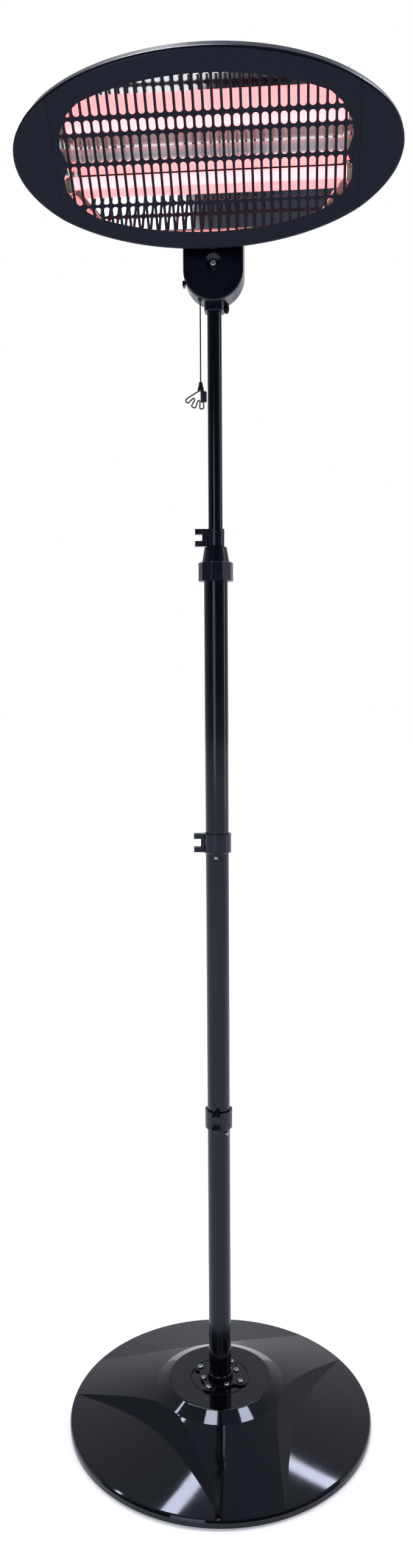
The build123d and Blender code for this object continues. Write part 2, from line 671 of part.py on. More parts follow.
# ---------------------------------------------------------------- cable clips
def cable_clip(bore_radius, wall, block_length, low, height, angle):
    """Sleeve round a tube with a block and two fingers that hold the cable."""
    outer = bore_radius + wall
    sleeve = disc(outer, low, low + height)
    sleeve = chamfer(sleeve.edges().group_by(Axis.Z)[0], 1.0)
    half = CLIP_FINGER_WIDTH / 2
    inside = bore_radius * 0.6
    block_end = outer + block_length
    tip = block_end + CLIP_FINGER_LENGTH
    block = box_between((inside, -half, low + 1), (tip, half, low + height))
    opening = box_between((block_end, -half - 1, low + 1 + CLIP_FINGER_HEIGHT),
                          (tip + 1, half + 1, low + height - CLIP_FINGER_HEIGHT))
    body = sleeve + (block - opening)
    body = body - disc(bore_radius, low - 1, low + height + 1)
    return Rot(0, 0, angle) * body


def make_cable_clip_top():
    return cable_clip(INNER_RADIUS + RUNNING_GAP, CLIP_TOP_WALL, CLIP_TOP_BLOCK,
                      CONE_TOP + 0.3, CLIP_TOP_HEIGHT, CLIP_TOP_ANGLE)


def make_cable_clip(joint, angle):
    low = joint + BUTTON_ABOVE_JOINT + BUTTON_RADIUS + CLIP_ABOVE_BUTTON
    return cable_clip(TUBE_RADIUS + RUNNING_GAP, CLIP_WALL, CLIP_BLOCK, low, CLIP_HEIGHT, angle)


# ---------------------------------------------------------------- neck
def tongue(inset, top):
    """Outline of the neck seen from the front: straight sides and a half round foot."""
    half = NECK_HALF_WIDTH - inset
    upper = Pos(0, (NECK_ARC_CENTRE + top) / 2) * Rectangle(2 * half, top - NECK_ARC_CENTRE)
    return upper + Pos(0, NECK_ARC_CENTRE) * Circle(half)


def neck_body(inset):
    """Neck solid drawn in by a wall; its top is rounded about the pivot."""
    top = PIVOT_HEIGHT + NECK_ROUND - inset
    body = slab(tongue(inset, top), NECK_FRONT + inset, NECK_BACK - inset)
    below = box_between((-60, NECK_FRONT - 1, NECK_BOTTOM - 1), (60, NECK_BACK + 1, PIVOT_HEIGHT))
    rounding = rod_x(NECK_ROUND - inset, -60, 60, PIVOT_Y, PIVOT_HEIGHT)
    return body & (below + rounding)


def neck_holes():
    """Holes through the neck: pivot bolt and tube collar."""
    bolt = rod_x(BOLT_RADIUS + BOLT_GAP, -60, 60, PIVOT_Y, PIVOT_HEIGHT)
    collar = disc(COLLAR_BOSS_RADIUS + COLLAR_SEAT_GAP, NECK_BOTTOM - 5, COLLAR_BOSS_TOP)
    seat = collar_block(COLLAR_SEAT_GAP, NECK_BOTTOM - 5)
    return bolt + collar + seat


def collar_block(grow, low):
    """Square block with round corners under the neck, grown all round by a gap."""
    side = COLLAR_SIDE + 2 * grow
    outline = RectangleRounded(side, side, COLLAR_CORNER + grow)
    return Pos(0, 0, low) * extrude(outline, amount=COLLAR_TOP - low)


def dimple_outline(inset, top):
    """Shallow disc low on the neck's face, ended by the recess that it lies in."""
    disc_face = Pos(0, DIMPLE_HEIGHT) * Circle(DIMPLE_RADIUS - inset)
    return disc_face & tongue(FACE_BORDER + inset, top)


def make_neck_front_shell():
    shell = neck_body(0)
    front_rim = [e for e in shell.faces().sort_by(Axis.Y)[0].edges()]
    shell = fillet(front_rim, 2.0)
    shell = shell - neck_body(NECK_WALL)
    half_space = box_between((-60, NECK_FRONT - 1, NECK_BOTTOM - 1), (60, PIVOT_Y, PIVOT_HEIGHT + 40))
    shell = shell & half_space
    recess_top = PIVOT_HEIGHT - 4
    shell = shell - slab(tongue(FACE_BORDER, recess_top), NECK_FRONT - 1, NECK_FRONT + FACE_RECESS)
    floor = NECK_FRONT + FACE_RECESS
    shell = shell + slab(dimple_outline(0, recess_top), floor, NECK_FRONT + NECK_WALL + DIMPLE_DEPTH)
    shell = shell - slab(dimple_outline(DIMPLE_RIM, recess_top), floor - 1, floor + DIMPLE_DEPTH)
    cup = Pos(0, floor, SCREW_DIMPLE_HEIGHT) * Rot(90, 0, 0)
    shell = shell + cup * Cone(SCREW_DIMPLE_RADIUS - 2, SCREW_DIMPLE_RADIUS, SCREW_CUP_DEPTH + 1.6,
                              align=(Align.CENTER, Align.CENTER, Align.MAX))
    shell = shell - cup * Cone(5.5, SCREW_DIMPLE_RADIUS - 1.2, SCREW_CUP_DEPTH,
                              align=(Align.CENTER, Align.CENTER, Align.MAX))
    shell = shell - rod_y(SCREW_HOLE_RADIUS, NECK_FRONT, PIVOT_Y, 0, SCREW_DIMPLE_HEIGHT)
    catch = box_between((-NECK_HALF_WIDTH - CATCH_PROUD, NECK_FRONT + 3, CATCH_LOW),
                        (-NECK_HALF_WIDTH + 2.2, NECK_FRONT + 3 + CATCH_DEPTH, CATCH_LOW + CATCH_HEIGHT))
    shell = shell + catch
    guide = Pos(CORD_X, CORD_Y, 0) * disc(GUIDE_RADIUS + 0.1, NECK_BOTTOM - 5, NECK_BOTTOM + 20)
    return shell - neck_holes() - guide


def make_neck_rear_shell():
    shell = neck_body(0)
    shell = fillet(shell.faces().sort_by(Axis.Y)[-1].edges(), 3.0)
    shell = shell - neck_body(NECK_WALL)
    half_space = box_between((-60, PIVOT_Y, NECK_BOTTOM - 1), (60, NECK_BACK + 1, PIVOT_HEIGHT + 40))
    shell = shell & half_space
    boss = rod_y(4.5, PIVOT_Y, NECK_BACK - NECK_WALL + 0.5, 0, SCREW_DIMPLE_HEIGHT)
    shell = shell + boss - rod_y(SCREW_HOLE_RADIUS, PIVOT_Y - 1, PIVOT_Y + 12, 0, SCREW_DIMPLE_HEIGHT)
    gland = Pos(GLAND_X, GLAND_Y, 0) * disc(GLAND_RADIUS + 0.1, NECK_BOTTOM - 5, NECK_BOTTOM + 20)
    return shell - neck_holes() - gland


def make_tube_collar():
    block = collar_block(0, COLLAR_LOW)
    block = chamfer(block.edges().group_by(Axis.Z)[0], 0.8)
    boss = disc(COLLAR_BOSS_RADIUS, COLLAR_TOP - 1, COLLAR_BOSS_TOP)
    bore = disc(INNER_RADIUS + 0.05, COLLAR_LOW - 1, INNER_TOP)
    return block + boss - bore


def make_neck_screw():
    floor = NECK_FRONT + FACE_RECESS + SCREW_CUP_DEPTH
    screw = pan_screw(4.2, 2.4, SCREW_SHANK_RADIUS, 22)
    return Pos(0, floor, SCREW_DIMPLE_HEIGHT) * Rot(90, 0, 0) * screw


def make_pivot_bolt():
    head_low = -EAR_OUTSIDE - SIDE_GAP - BOLT_HEAD_THICKNESS
    shank_end = EAR_OUTSIDE + KNOB_THICKNESS - 3
    hexagon = RegularPolygon(BOLT_HEAD_RADIUS, 6)
    head = Pos(head_low, PIVOT_Y, PIVOT_HEIGHT) * Rot(0, 90, 0) * extrude(
        hexagon, amount=BOLT_HEAD_THICKNESS)
    return head + rod_x(BOLT_RADIUS, head_low + 1, shank_end, PIVOT_Y, PIVOT_HEIGHT)


def make_pivot_sleeve():
    reach = NECK_HALF_WIDTH - NECK_WALL - 0.1
    outer = rod_x(BOLT_RADIUS + BOLT_GAP + SLEEVE_WALL, -reach, reach, PIVOT_Y, PIVOT_HEIGHT)
    return outer - rod_x(BOLT_RADIUS + BOLT_GAP, -60, 60, PIVOT_Y, PIVOT_HEIGHT)


def make_pivot_washers():
    start = NECK_HALF_WIDTH + SIDE_GAP
    washers = []
    for side in (-1, 1):
        low = min(side * start, side * (start + WASHER_THICKNESS))
        body = rod_x(WASHER_RADIUS, low, low + WASHER_THICKNESS, PIVOT_Y, PIVOT_HEIGHT)
        washers.append(body - rod_x(BOLT_RADIUS + BOLT_GAP, -60, 60, PIVOT_Y, PIVOT_HEIGHT))
    return washers


def make_tilt_knob():
    """Star knob with finger lobes, screwed on the end of the pivot bolt."""
    outline = Circle(KNOB_RADIUS - 4)
    for k in range(KNOB_LOBES):
        outline = outline + Rot(0, 0, k * 360 / KNOB_LOBES) * Pos(KNOB_RADIUS - 5, 0) * Circle(5)
    rim = Rot(0, 90, 0) * extrude(outline, amount=KNOB_THICKNESS - 3)
    rim = Pos(3, 0, 0) * rim
    hub = rod_x(KNOB_HUB_RADIUS, 0, 4, 0, 0)
    body = Pos(EAR_OUTSIDE + SIDE_GAP, PIVOT_Y, PIVOT_HEIGHT) * (rim + hub)
    return body - rod_x(BOLT_RADIUS + 0.05, 0, EAR_OUTSIDE + KNOB_THICKNESS - 2.5, PIVOT_Y, PIVOT_HEIGHT)


# ---------------------------------------------------------------- pull switch and cord
SHELL_FOOT_AT_CORD = NECK_ARC_CENTRE - (NECK_HALF_WIDTH ** 2 - CORD_X ** 2) ** 0.5
SHELL_FOOT_AT_GLAND = NECK_ARC_CENTRE - (NECK_HALF_WIDTH ** 2 - GLAND_X ** 2) ** 0.5
GUIDE_LOW = SHELL_FOOT_AT_CORD - GUIDE_DROP
BELL_TOP = GUIDE_LOW - CORD_HANG
BELL_LOW = BELL_TOP - BELL_HEIGHT
LEVER_PIVOT_X = CORD_X + LEVER_ARM * cos(radians(LEVER_SWING / 4))
LEVER_TIP_HEIGHT = LEVER_HEIGHT + LEVER_ARM * sin(radians(LEVER_SWING / 2))
KNOT_CENTRE = LEVER_TIP_HEIGHT + LEVER_THICKNESS / 2 + KNOT_RADIUS + 0.4


def make_cord_guide():
    wall_top = SHELL_FOOT_AT_CORD + 6
    body = Pos(CORD_X, CORD_Y, 0) * (
        disc(GUIDE_RADIUS, SHELL_FOOT_AT_CORD - 1, wall_top)
        + Pos(0, 0, GUIDE_LOW) * Cone(GUIDE_NOZZLE_RADIUS, GUIDE_RADIUS, GUIDE_DROP - 1, align=BOTTOM)
        + disc(GUIDE_FLANGE_RADIUS, wall_top, wall_top + 1.5)
    )
    return body - Pos(CORD_X, CORD_Y, 0) * disc(GUIDE_BORE, GUIDE_LOW - 1, wall_top + 3)


def make_switch_body():
    """Pull switch: case behind the lever with the pin that the lever turns on."""
    inside_back = NECK_BACK - NECK_WALL
    low = LEVER_HEIGHT - SWITCH_HEIGHT / 2
    case = box_between((LEVER_PIVOT_X - SWITCH_WIDTH / 2, CORD_Y + LEVER_WIDTH / 2 + 0.4, low),
                       (LEVER_PIVOT_X + SWITCH_WIDTH / 2, PIVOT_Y - 1.5, low + SWITCH_HEIGHT))
    foot = box_between((LEVER_PIVOT_X + 2, PIVOT_Y - 1.5, low + 4),
                       (LEVER_PIVOT_X + SWITCH_WIDTH / 2, inside_back - 0.1, low + SWITCH_HEIGHT - 2))
    pin = rod_y(LEVER_PIN_RADIUS, CORD_Y - LEVER_WIDTH / 2, CORD_Y + LEVER_WIDTH / 2 + 1,
                LEVER_PIVOT_X, LEVER_HEIGHT)
    return case + foot + pin


def make_switch_lever():
    """Lever with a forked tip round the cord, turned up by half its swing."""
    half = LEVER_WIDTH / 2
    thick = LEVER_THICKNESS / 2
    arm = box_between((-LEVER_ARM - 4, -half, -thick), (0, half, thick))
    boss = rod_y(LEVER_BOSS_RADIUS, -half, half, 0, 0)
    hole = rod_y(LEVER_PIN_RADIUS + 0.06, -half - 1, half + 1, 0, 0)
    slot = box_between((-LEVER_ARM - 5, -FORK_SLOT / 2, -thick - 1),
                       (-LEVER_ARM + 2.5, FORK_SLOT / 2, thick + 1))
    lever = arm + boss - hole - slot
    return Pos(LEVER_PIVOT_X, CORD_Y, LEVER_HEIGHT) * Rot(0, LEVER_SWING / 2, 0) * lever


def make_cord_anchor():
    """The cord inside the switch, from its knot down to the guide's mouth."""
    at = Pos(CORD_X, CORD_Y, 0)
    knot = Pos(CORD_X, CORD_Y, KNOT_CENTRE) * Sphere(KNOT_RADIUS)
    return at * disc(CORD_RADIUS, GUIDE_LOW, KNOT_CENTRE) + knot


def make_pull_cord():
    return Pos(CORD_X, CORD_Y, 0) * disc(CORD_RADIUS, BELL_TOP, GUIDE_LOW)


def make_cord_bell():
    points = [
        (0, BELL_TOP), (BELL_TOP_RADIUS, BELL_TOP), (BELL_TOP_RADIUS + 0.4, BELL_TOP - 2.5),
        (BELL_LOW_RADIUS, BELL_LOW + 2.5), (BELL_LOW_RADIUS, BELL_LOW), (0, BELL_LOW),
    ]
    return Pos(CORD_X, CORD_Y, 0) * turned(points)


def fan_point(angle, distance):
    """Point in the upright plane of the loops, by angle from straight down."""
    a = radians(angle)
    return (CORD_X + distance * sin(a), CORD_Y, BELL_LOW + 1.5 - distance * cos(a))


def loop_path():
    """Runs fanned out below the bell, joined by half round turns tangent to them."""
    parts = []
    last = len(LOOP_ANGLES) - 1
    for k, angle in enumerate(LOOP_ANGLES):
        outward = k % 2 == 0
        near = LOOP_START if k in (0, last) else LOOP_NEAR
        ends = (near, LOOP_FAR) if outward else (LOOP_FAR, near)
        parts.append(Line(fan_point(angle, ends[0]), fan_point(angle, ends[1])))
        if k < last:
            half = radians(LOOP_ANGLES[k + 1] - angle) / 2
            middle = (angle + LOOP_ANGLES[k + 1]) / 2
            distance = LOOP_FAR if outward else LOOP_NEAR
            crown = distance / cos(half) + (1 if outward else -1) * distance * tan(half)
            parts.append(ThreePointArc(fan_point(angle, distance), fan_point(middle, crown),
                                       fan_point(LOOP_ANGLES[k + 1], distance)))
    return Wire(parts)


def least_gap(path):
    """Smallest free gap between stretches of the cord that aren't neighbours."""
    count = 400
    points = [path.position_at(k / count) for k in range(count + 1)]
    step = path.length / count
    apart = int(6.0 / step) + 1
    best = 1e9
    for i in range(0, count + 1 - apart):
        for j in range(i + apart, count + 1):
            best = min(best, (points[i] - points[j]).length)
    return best - 2 * CORD_RADIUS


def make_cord_loops():
    path = loop_path()
    start = Plane(origin=path.position_at(0), z_dir=path.tangent_at(0))
    tube = sweep(start * Circle(CORD_RADIUS), path=path)
    print("cord loops: length", round(path.length, 1), "least gap", round(least_gap(path), 2),
          "volume ratio", round(tube.volume / (path.length * 3.14159 * CORD_RADIUS ** 2), 4))
    return tube


def make_cord_tag():
    low = (CORD_X + TAG_SIDE_SHIFT - TAG_WIDTH / 2, CORD_Y + TAG_BACK_SHIFT - TAG_THICKNESS / 2,
           BELL_LOW - TAG_LENGTH)
    high = (low[0] + TAG_WIDTH, low[1] + TAG_THICKNESS, BELL_LOW)
    tag = box_between(low, high)
    return fillet(tag.edges().filter_by(Axis.Y), 1.0)


def make_cable_gland():
    foot = SHELL_FOOT_AT_GLAND
    nut_low = foot - GLAND_NUT_DROP - GLAND_NUT_HEIGHT
    tip_length = nut_low - (foot - GLAND_DROP)
    tip = Pos(0, 0, foot - GLAND_DROP) * Cone(GLAND_TIP_RADIUS, GLAND_RADIUS, tip_length, align=BOTTOM)
    body = disc(GLAND_RADIUS, nut_low, foot + 7) + disc(GLAND_NUT_RADIUS, nut_low, nut_low + GLAND_NUT_HEIGHT) + tip
    body = body - disc(GLAND_BORE, foot - GLAND_DROP - 1, foot + 8)
    return Pos(GLAND_X, GLAND_Y, 0) * body


def make_terminal_block():
    back = NECK_BACK - NECK_WALL - 0.1
    low = (-TERMINAL_LEFT, back - TERMINAL_DEPTH, NECK_BOTTOM + TERMINAL_ABOVE_FOOT)
    high = (low[0] + TERMINAL_WIDTH, back, low[2] + TERMINAL_HEIGHT)
    block = box_between(low, high)
    middle = low[2] + TERMINAL_HEIGHT / 2
    for k in range(TERMINAL_WAYS):
        x = low[0] + 5 + TERMINAL_PITCH * k
        block = block - rod_y(2.0, low[1] - 1, low[1] + 5, x, middle)
    return block


# ---------------------------------------------------------------- head, drawn upright
def in_head(shape):
    """Move a piece drawn about the rim's centre to its place in the tilted head."""
    return Pos(0, -HEAD_FORWARD, HEAD_HEIGHT) * Rot(HEAD_TILT, 0, 0) * shape


def head_outline_solid(inset, front_inset, back):
    """The panel's solid: an oval with a flat middle and ends that slope back."""
    prism = slab(Ellipse(HEAD_HALF_WIDTH - inset, HEAD_HALF_HEIGHT - inset), -FACE_FORWARD - 1, back)
    reach = HEAD_HALF_WIDTH + 5
    face = -FACE_FORWARD + front_inset
    drop = (reach - CAP_SEAM) * tan(radians(CAP_SLOPE))
    outline = [(-reach, back + 1), (-reach, face + drop), (-CAP_SEAM, face), (CAP_SEAM, face),
               (reach, face + drop), (reach, back + 1)]
    profile = make_face(Polyline(*[(x, y, 0) for x, y in outline], close=True))
    folds = profile.vertices().group_by(Axis.Y)[0]
    profile = fillet(folds, CAP_FOLD_RADIUS - front_inset)
    return prism & extrude(profile, amount=HEAD_HALF_HEIGHT + 5, both=True)


def head_shell():
    """Front panel and end caps in one, before they are parted at the seams."""
    outer = head_outline_solid(0, 0, PANEL_SKIRT)
    middle = outer.faces().filter_by(lambda f: abs(f.normal_at().Y + 1) < 0.03)
    seams = [e for f in middle for e in f.edges().filter_by(Axis.Z)]
    rim = [e for f in middle for e in f.edges() if not any(e.is_same(s) for s in seams)]
    outer = fillet(rim, PANEL_EDGE_RADIUS)
    inner = head_outline_solid(PANEL_WALL, PANEL_WALL, PANEL_SKIRT + 1)
    return outer - inner


def grille_outline():
    """Outline that ends the slots: the head's oval drawn in, with two lobes at each end."""
    oval = Ellipse(HEAD_HALF_WIDTH, HEAD_HALF_HEIGHT)
    arcs = (Pos(0, -GRILLE_TOP_BORDER) * oval) & (Pos(0, GRILLE_LOW_BORDER) * oval)
    upper = [(HEAD_HALF_WIDTH - x, HEAD_HALF_HEIGHT - z) for x, z in GRILLE_UPPER_INSETS]
    lower = [(HEAD_HALF_WIDTH - x, z - HEAD_HALF_HEIGHT) for x, z in GRILLE_LOWER_INSETS]
    notch = (HEAD_HALF_WIDTH - GRILLE_NOTCH_INSET, (BAR_EDGES[4] + BAR_EDGES[5]) / 2 - WINDOW_DROP)
    tall = HEAD_HALF_HEIGHT
    corners = [(0, tall), (upper[0][0], tall), *upper, notch, *lower, (lower[-1][0], -tall), (0, -tall)]
    half = make_face(Polyline(*corners, close=True))
    return arcs & (half + mirror(half, about=Plane.YZ))


def slot_sketches():
    """The grille's slots: columns cut into rows, ended by the grille's outline."""
    slots = []
    for k in range(SLOT_COLUMNS):
        x = (k - (SLOT_COLUMNS - 1) / 2) * SLOT_PITCH
        for high, low in zip(ROW_EDGES[::2], ROW_EDGES[1::2]):
            shape = RectangleRounded(SLOT_WIDTH, high - low, SLOT_ROUND)
            slots.append(Pos(x, (high + low) / 2 - WINDOW_DROP) * shape)
    ended = (Sketch() + slots) & grille_outline()
    return [Sketch() + face for face in ended.faces() if face.area > SLOT_LEAST_AREA]


def make_front_panel(shell):
    edge = CAP_SEAM - SEAM_GAP / 2
    tall = HEAD_HALF_HEIGHT + 5
    middle = box_between((-edge, -30, -tall), (edge, 30, tall))
    panel = shell & middle
    cutters = [slab(s, -FACE_FORWARD - 1, -FACE_FORWARD + PANEL_WALL + 1) for s in slot_sketches()]
    return in_head(panel - Compound(children=cutters))


def make_end_caps(shell):
    """The left cap, and the right one as its mirror image."""
    tall = HEAD_HALF_HEIGHT + 5
    low = (-HEAD_HALF_WIDTH - 5, -30, -tall)
    high = (-CAP_SEAM - SEAM_GAP / 2, 30, tall)
    cap = shell & box_between(low, high)
    return in_head(cap), in_head(mirror(cap, about=Plane.YZ))


def casing_solid(inset, front):
    """The rear casing's tapering oval, drawn in by a wall."""
    gap = PANEL_WALL + CASING_SKIRT_GAP + inset
    wide = Ellipse(HEAD_HALF_WIDTH - gap, HEAD_HALF_HEIGHT - gap)
    narrow = Ellipse(CASING_BACK_HALF_WIDTH - inset, CASING_BACK_HALF_HEIGHT - inset)
    collar = slab(wide, front, CASING_SHOULDER)
    cone = loft([facing(CASING_SHOULDER) * wide, facing(CASING_DEPTH - inset) * narrow], ruled=True)
    return collar + cone


def make_rear_casing():
    outer = casing_solid(0, CASING_FRONT)
    back_edge = outer.edges().group_by(Axis.Y)[-1]
    outer = fillet(back_edge, CASING_EDGE_RADIUS)
    body = outer - casing_solid(CASING_WALL, CASING_FRONT - 1)
    vents = []
    for row in range(VENT_ROWS):
        for k in range(VENT_COLUMNS):
            x = (k - (VENT_COLUMNS - 1) / 2) * VENT_PITCH
            z = (row - (VENT_ROWS - 1) / 2) * VENT_ROW_OFFSET + 6
            shape = Pos(x, z) * SlotOverall(VENT_LENGTH, VENT_WIDTH, rotation=90)
            vents.append(slab(shape, CASING_DEPTH - CASING_WALL - 1, CASING_DEPTH + 1))
    body = body - Compound(children=vents)
    for x, z in casing_screw_places():
        body = body - rod_y(SCREW_HOLE_RADIUS, CASING_DEPTH - 6, CASING_DEPTH + 1, x, z)
    return in_head(body)


def casing_screw_places():
    return [(sx * CASING_SCREW_X, sz * CASING_SCREW_Z) for sx in (-1, 1) for sz in (-1, 1)]


def make_casing_screws():
    screw = pan_screw(3.8, 2.0, SCREW_SHANK_RADIUS, 8)
    return [in_head(Pos(x, CASING_DEPTH, z) * Rot(-90, 0, 0) * screw)
            for x, z in casing_screw_places()]


def octagon(insets, grow, drop):
    """Eight-sided outline from two corners, mirrored both ways, set inside the head's outline."""
    (ax, az), (bx, bz) = [(HEAD_HALF_WIDTH - x, HEAD_HALF_HEIGHT - z) for x, z in insets]
    ax, az, bx, bz = ax + grow, az + grow / 2, bx + grow / 2, bz + grow
    ring_points = [(ax, az), (bx, bz), (-bx, bz), (-ax, az), (-ax, -az), (-bx, -bz), (bx, -bz), (ax, -az)]
    points = [(x, 0, z - drop) for x, z in ring_points]
    return points


def tray(front, back, grow):
    """Tapering eight-sided solid between two depths."""
    faces = []
    for y, insets, drop in ((front, REFLECTOR_FRONT_INSETS, WINDOW_DROP),
                            (back, REFLECTOR_BACK_INSETS, 0.0)):
        points = [(x, y, z) for x, _, z in octagon(insets, grow, drop)]
        faces.append(make_face(Polyline(*points, close=True)))
    return loft(faces, ruled=True)


def heat_tube_heights():
    middle = (HEAT_TUBE_COUNT - 1) / 2
    return [(middle - k) * HEAT_TUBE_PITCH - HEAT_TUBE_DROP for k in range(HEAT_TUBE_COUNT)]


def make_reflector():
    front = -FACE_FORWARD + PANEL_WALL + 0.3
    outer = tray(front, TUBE_WALL_Y, REFLECTOR_WALL * 1.2)
    inner = tray(front - 0.01, REFLECTOR_BACK, 0)
    body = outer - inner
    half = CERAMIC_SIDE / 2 + CERAMIC_HOLE_GAP
    for z in heat_tube_heights():
        body = body - box_between((-HEAD_HALF_WIDTH, HEAT_TUBE_DEPTH - half, z - half),
                                  (HEAD_HALF_WIDTH, HEAT_TUBE_DEPTH + half, z + half))
    return in_head(body)


def make_quartz_tube(z):
    length = HEAT_TUBE_HALF_LENGTH
    body = rod_x(HEAT_TUBE_RADIUS, -length, length, HEAT_TUBE_DEPTH, z)
    bore = rod_x(HEAT_TUBE_RADIUS - HEAT_TUBE_WALL, -length - 1, length + 1, HEAT_TUBE_DEPTH, z)
    return in_head(body - bore)


def make_heating_coil(z):
    """Wound element drawn as its outer form, with a thinner lead at each end."""
    half = COIL_HALF_LENGTH
    body = rod_x(COIL_RADIUS, -half, half, HEAT_TUBE_DEPTH, z)
    inside = half - COIL_END
    body = body - rod_x(COIL_RADIUS - COIL_WIRE, -inside, inside, HEAT_TUBE_DEPTH, z)
    reach = HEAT_TUBE_HALF_LENGTH + CERAMIC_GAP
    right = rod_x(COIL_LEAD_RADIUS, half - 1, reach, HEAT_TUBE_DEPTH, z)
    left = rod_x(COIL_LEAD_RADIUS, -reach, 1 - half, HEAT_TUBE_DEPTH, z)
    return in_head(body + left + right)


def make_ceramic_caps():
    """Square steatite caps that hold the ends of the quartz tubes."""
    caps = []
    half = CERAMIC_SIDE / 2
    for z in heat_tube_heights():
        for side in (-1, 1):
            near = HEAT_TUBE_HALF_LENGTH - CERAMIC_OVERLAP
            far = near + CERAMIC_LENGTH
            cap = box_between((near, HEAT_TUBE_DEPTH - half, z - half),
                              (far, HEAT_TUBE_DEPTH + half, z + half))
            cap = fillet(cap.edges().filter_by(Axis.X), 2.0)
            cap = cap - rod_x(HEAT_TUBE_RADIUS + CERAMIC_GAP, near - 1,
                              HEAT_TUBE_HALF_LENGTH + CERAMIC_GAP, HEAT_TUBE_DEPTH, z)
            caps.append(in_head(cap if side > 0 else mirror(cap, about=Plane.YZ)))
    return caps


def make_tube_holder(side):
    """Bent plate with a window for each ceramic cap, standing on the casing's back."""
    back = CASING_DEPTH - CASING_WALL - HOLDER_SEAT_GAP
    front = HEAT_TUBE_DEPTH - HOLDER_WIDTH / 2
    x = HOLDER_X - HOLDER_THICKNESS / 2
    low, high = -HEAT_TUBE_DROP - HOLDER_HEIGHT / 2, -HEAT_TUBE_DROP + HOLDER_HEIGHT / 2
    plate = box_between((x, front, low), (x + HOLDER_THICKNESS, back, high))
    foot = box_between((x - HOLDER_FOOT, back - HOLDER_THICKNESS, low + 20),
                       (x + HOLDER_THICKNESS, back, high - 20))
    half = CERAMIC_SIDE / 2 + CERAMIC_GAP
    body = plate + foot
    for z in heat_tube_heights():
        body = body - box_between((x - 5, HEAT_TUBE_DEPTH - half, z - half),
                                  (x + 5, HEAT_TUBE_DEPTH + half, z + half))
    body = body & casing_solid(CASING_WALL + 0.3, CASING_FRONT - 1)
    return in_head(body if side > 0 else mirror(body, about=Plane.YZ))


def make_link_strips():
    """Strips that join the studs of the ceramic caps."""
    x = HEAT_TUBE_HALF_LENGTH - CERAMIC_OVERLAP + CERAMIC_LENGTH
    reach = HEAT_TUBE_PITCH + LINK_WIDTH / 2
    half = LINK_WIDTH / 2
    strip = box_between((x, HEAT_TUBE_DEPTH - half, -HEAT_TUBE_DROP - reach),
                        (x + LINK_THICKNESS, HEAT_TUBE_DEPTH + half, -HEAT_TUBE_DROP + reach))
    return [in_head(strip), in_head(mirror(strip, about=Plane.YZ))]


def make_thermal_cutout():
    back = CASING_DEPTH - CASING_WALL
    body = rod_y(CUTOUT_RADIUS, back - CUTOUT_THICKNESS - 0.2, back - 0.2, CUTOUT_X, 0)
    tab = box_between((CUTOUT_X - 13, back - 1.4, -3), (CUTOUT_X + 13, back - 0.2, 3))
    return in_head(body + tab)


def make_pivot_bracket():
    """Plate under the casing's lower slope with an ear each side of the neck."""
    gap = PANEL_WALL + CASING_SKIRT_GAP
    rim_z = -(HEAD_HALF_HEIGHT - gap)
    back_z = -CASING_BACK_HALF_HEIGHT
    run = CASING_SHOULDER - CASING_DEPTH
    rise = rim_z - back_z
    length = (run ** 2 + rise ** 2) ** 0.5
    along = (run / length, rise / length)
    out = (-along[1], along[0])
    if out[1] > 0:
        out = (along[1], -along[0])
    pivot_y, pivot_z = pivot_in_head()

    def at(s, t):
        return (CASING_DEPTH + along[0] * s + out[0] * t, back_z + along[1] * s + out[1] * t)

    near, far = BRACKET_GAP, BRACKET_GAP + BRACKET_THICKNESS
    end = BRACKET_START + BRACKET_LENGTH
    plate_points = [at(BRACKET_START, near), at(end, near), at(end, far), at(BRACKET_START, far)]
    plate_face = make_face(Polyline(*[(0, y, z) for y, z in plate_points], close=True))
    plate = extrude(plate_face, amount=EAR_OUTSIDE, both=True)
    ear_points = [at(BRACKET_START, near), at(end, near)]
    start = Vector(0, ear_points[0][0], ear_points[0][1])
    finish = Vector(0, ear_points[1][0], ear_points[1][1])
    corner = [(0, pivot_y + EAR_RADIUS * 0.94, pivot_z + EAR_RADIUS * 0.34),
              (0, pivot_y - EAR_RADIUS * 0.94, pivot_z - EAR_RADIUS * 0.34)]
    web = make_face(Polyline(start, corner[0], corner[1], finish, close=True))
    web = extrude(web, amount=EAR_OUTSIDE, both=True)
    eye = rod_x(EAR_RADIUS, -EAR_OUTSIDE, EAR_OUTSIDE, pivot_y, pivot_z)
    ears = web + eye - box_between((-EAR_INSIDE, -200, -300), (EAR_INSIDE, 300, 200))
    body = plate + ears - rod_x(BOLT_RADIUS + BOLT_GAP, -60, 60, pivot_y, pivot_z)
    return in_head(body)


def pivot_in_head():
    """Pivot axis in the head's own frame, as depth and height."""
    dy = PIVOT_Y + HEAD_FORWARD
    dz = PIVOT_HEIGHT - HEAD_HEIGHT
    a = radians(HEAD_TILT)
    return dy * cos(a) + dz * sin(a), -dy * sin(a) + dz * cos(a)


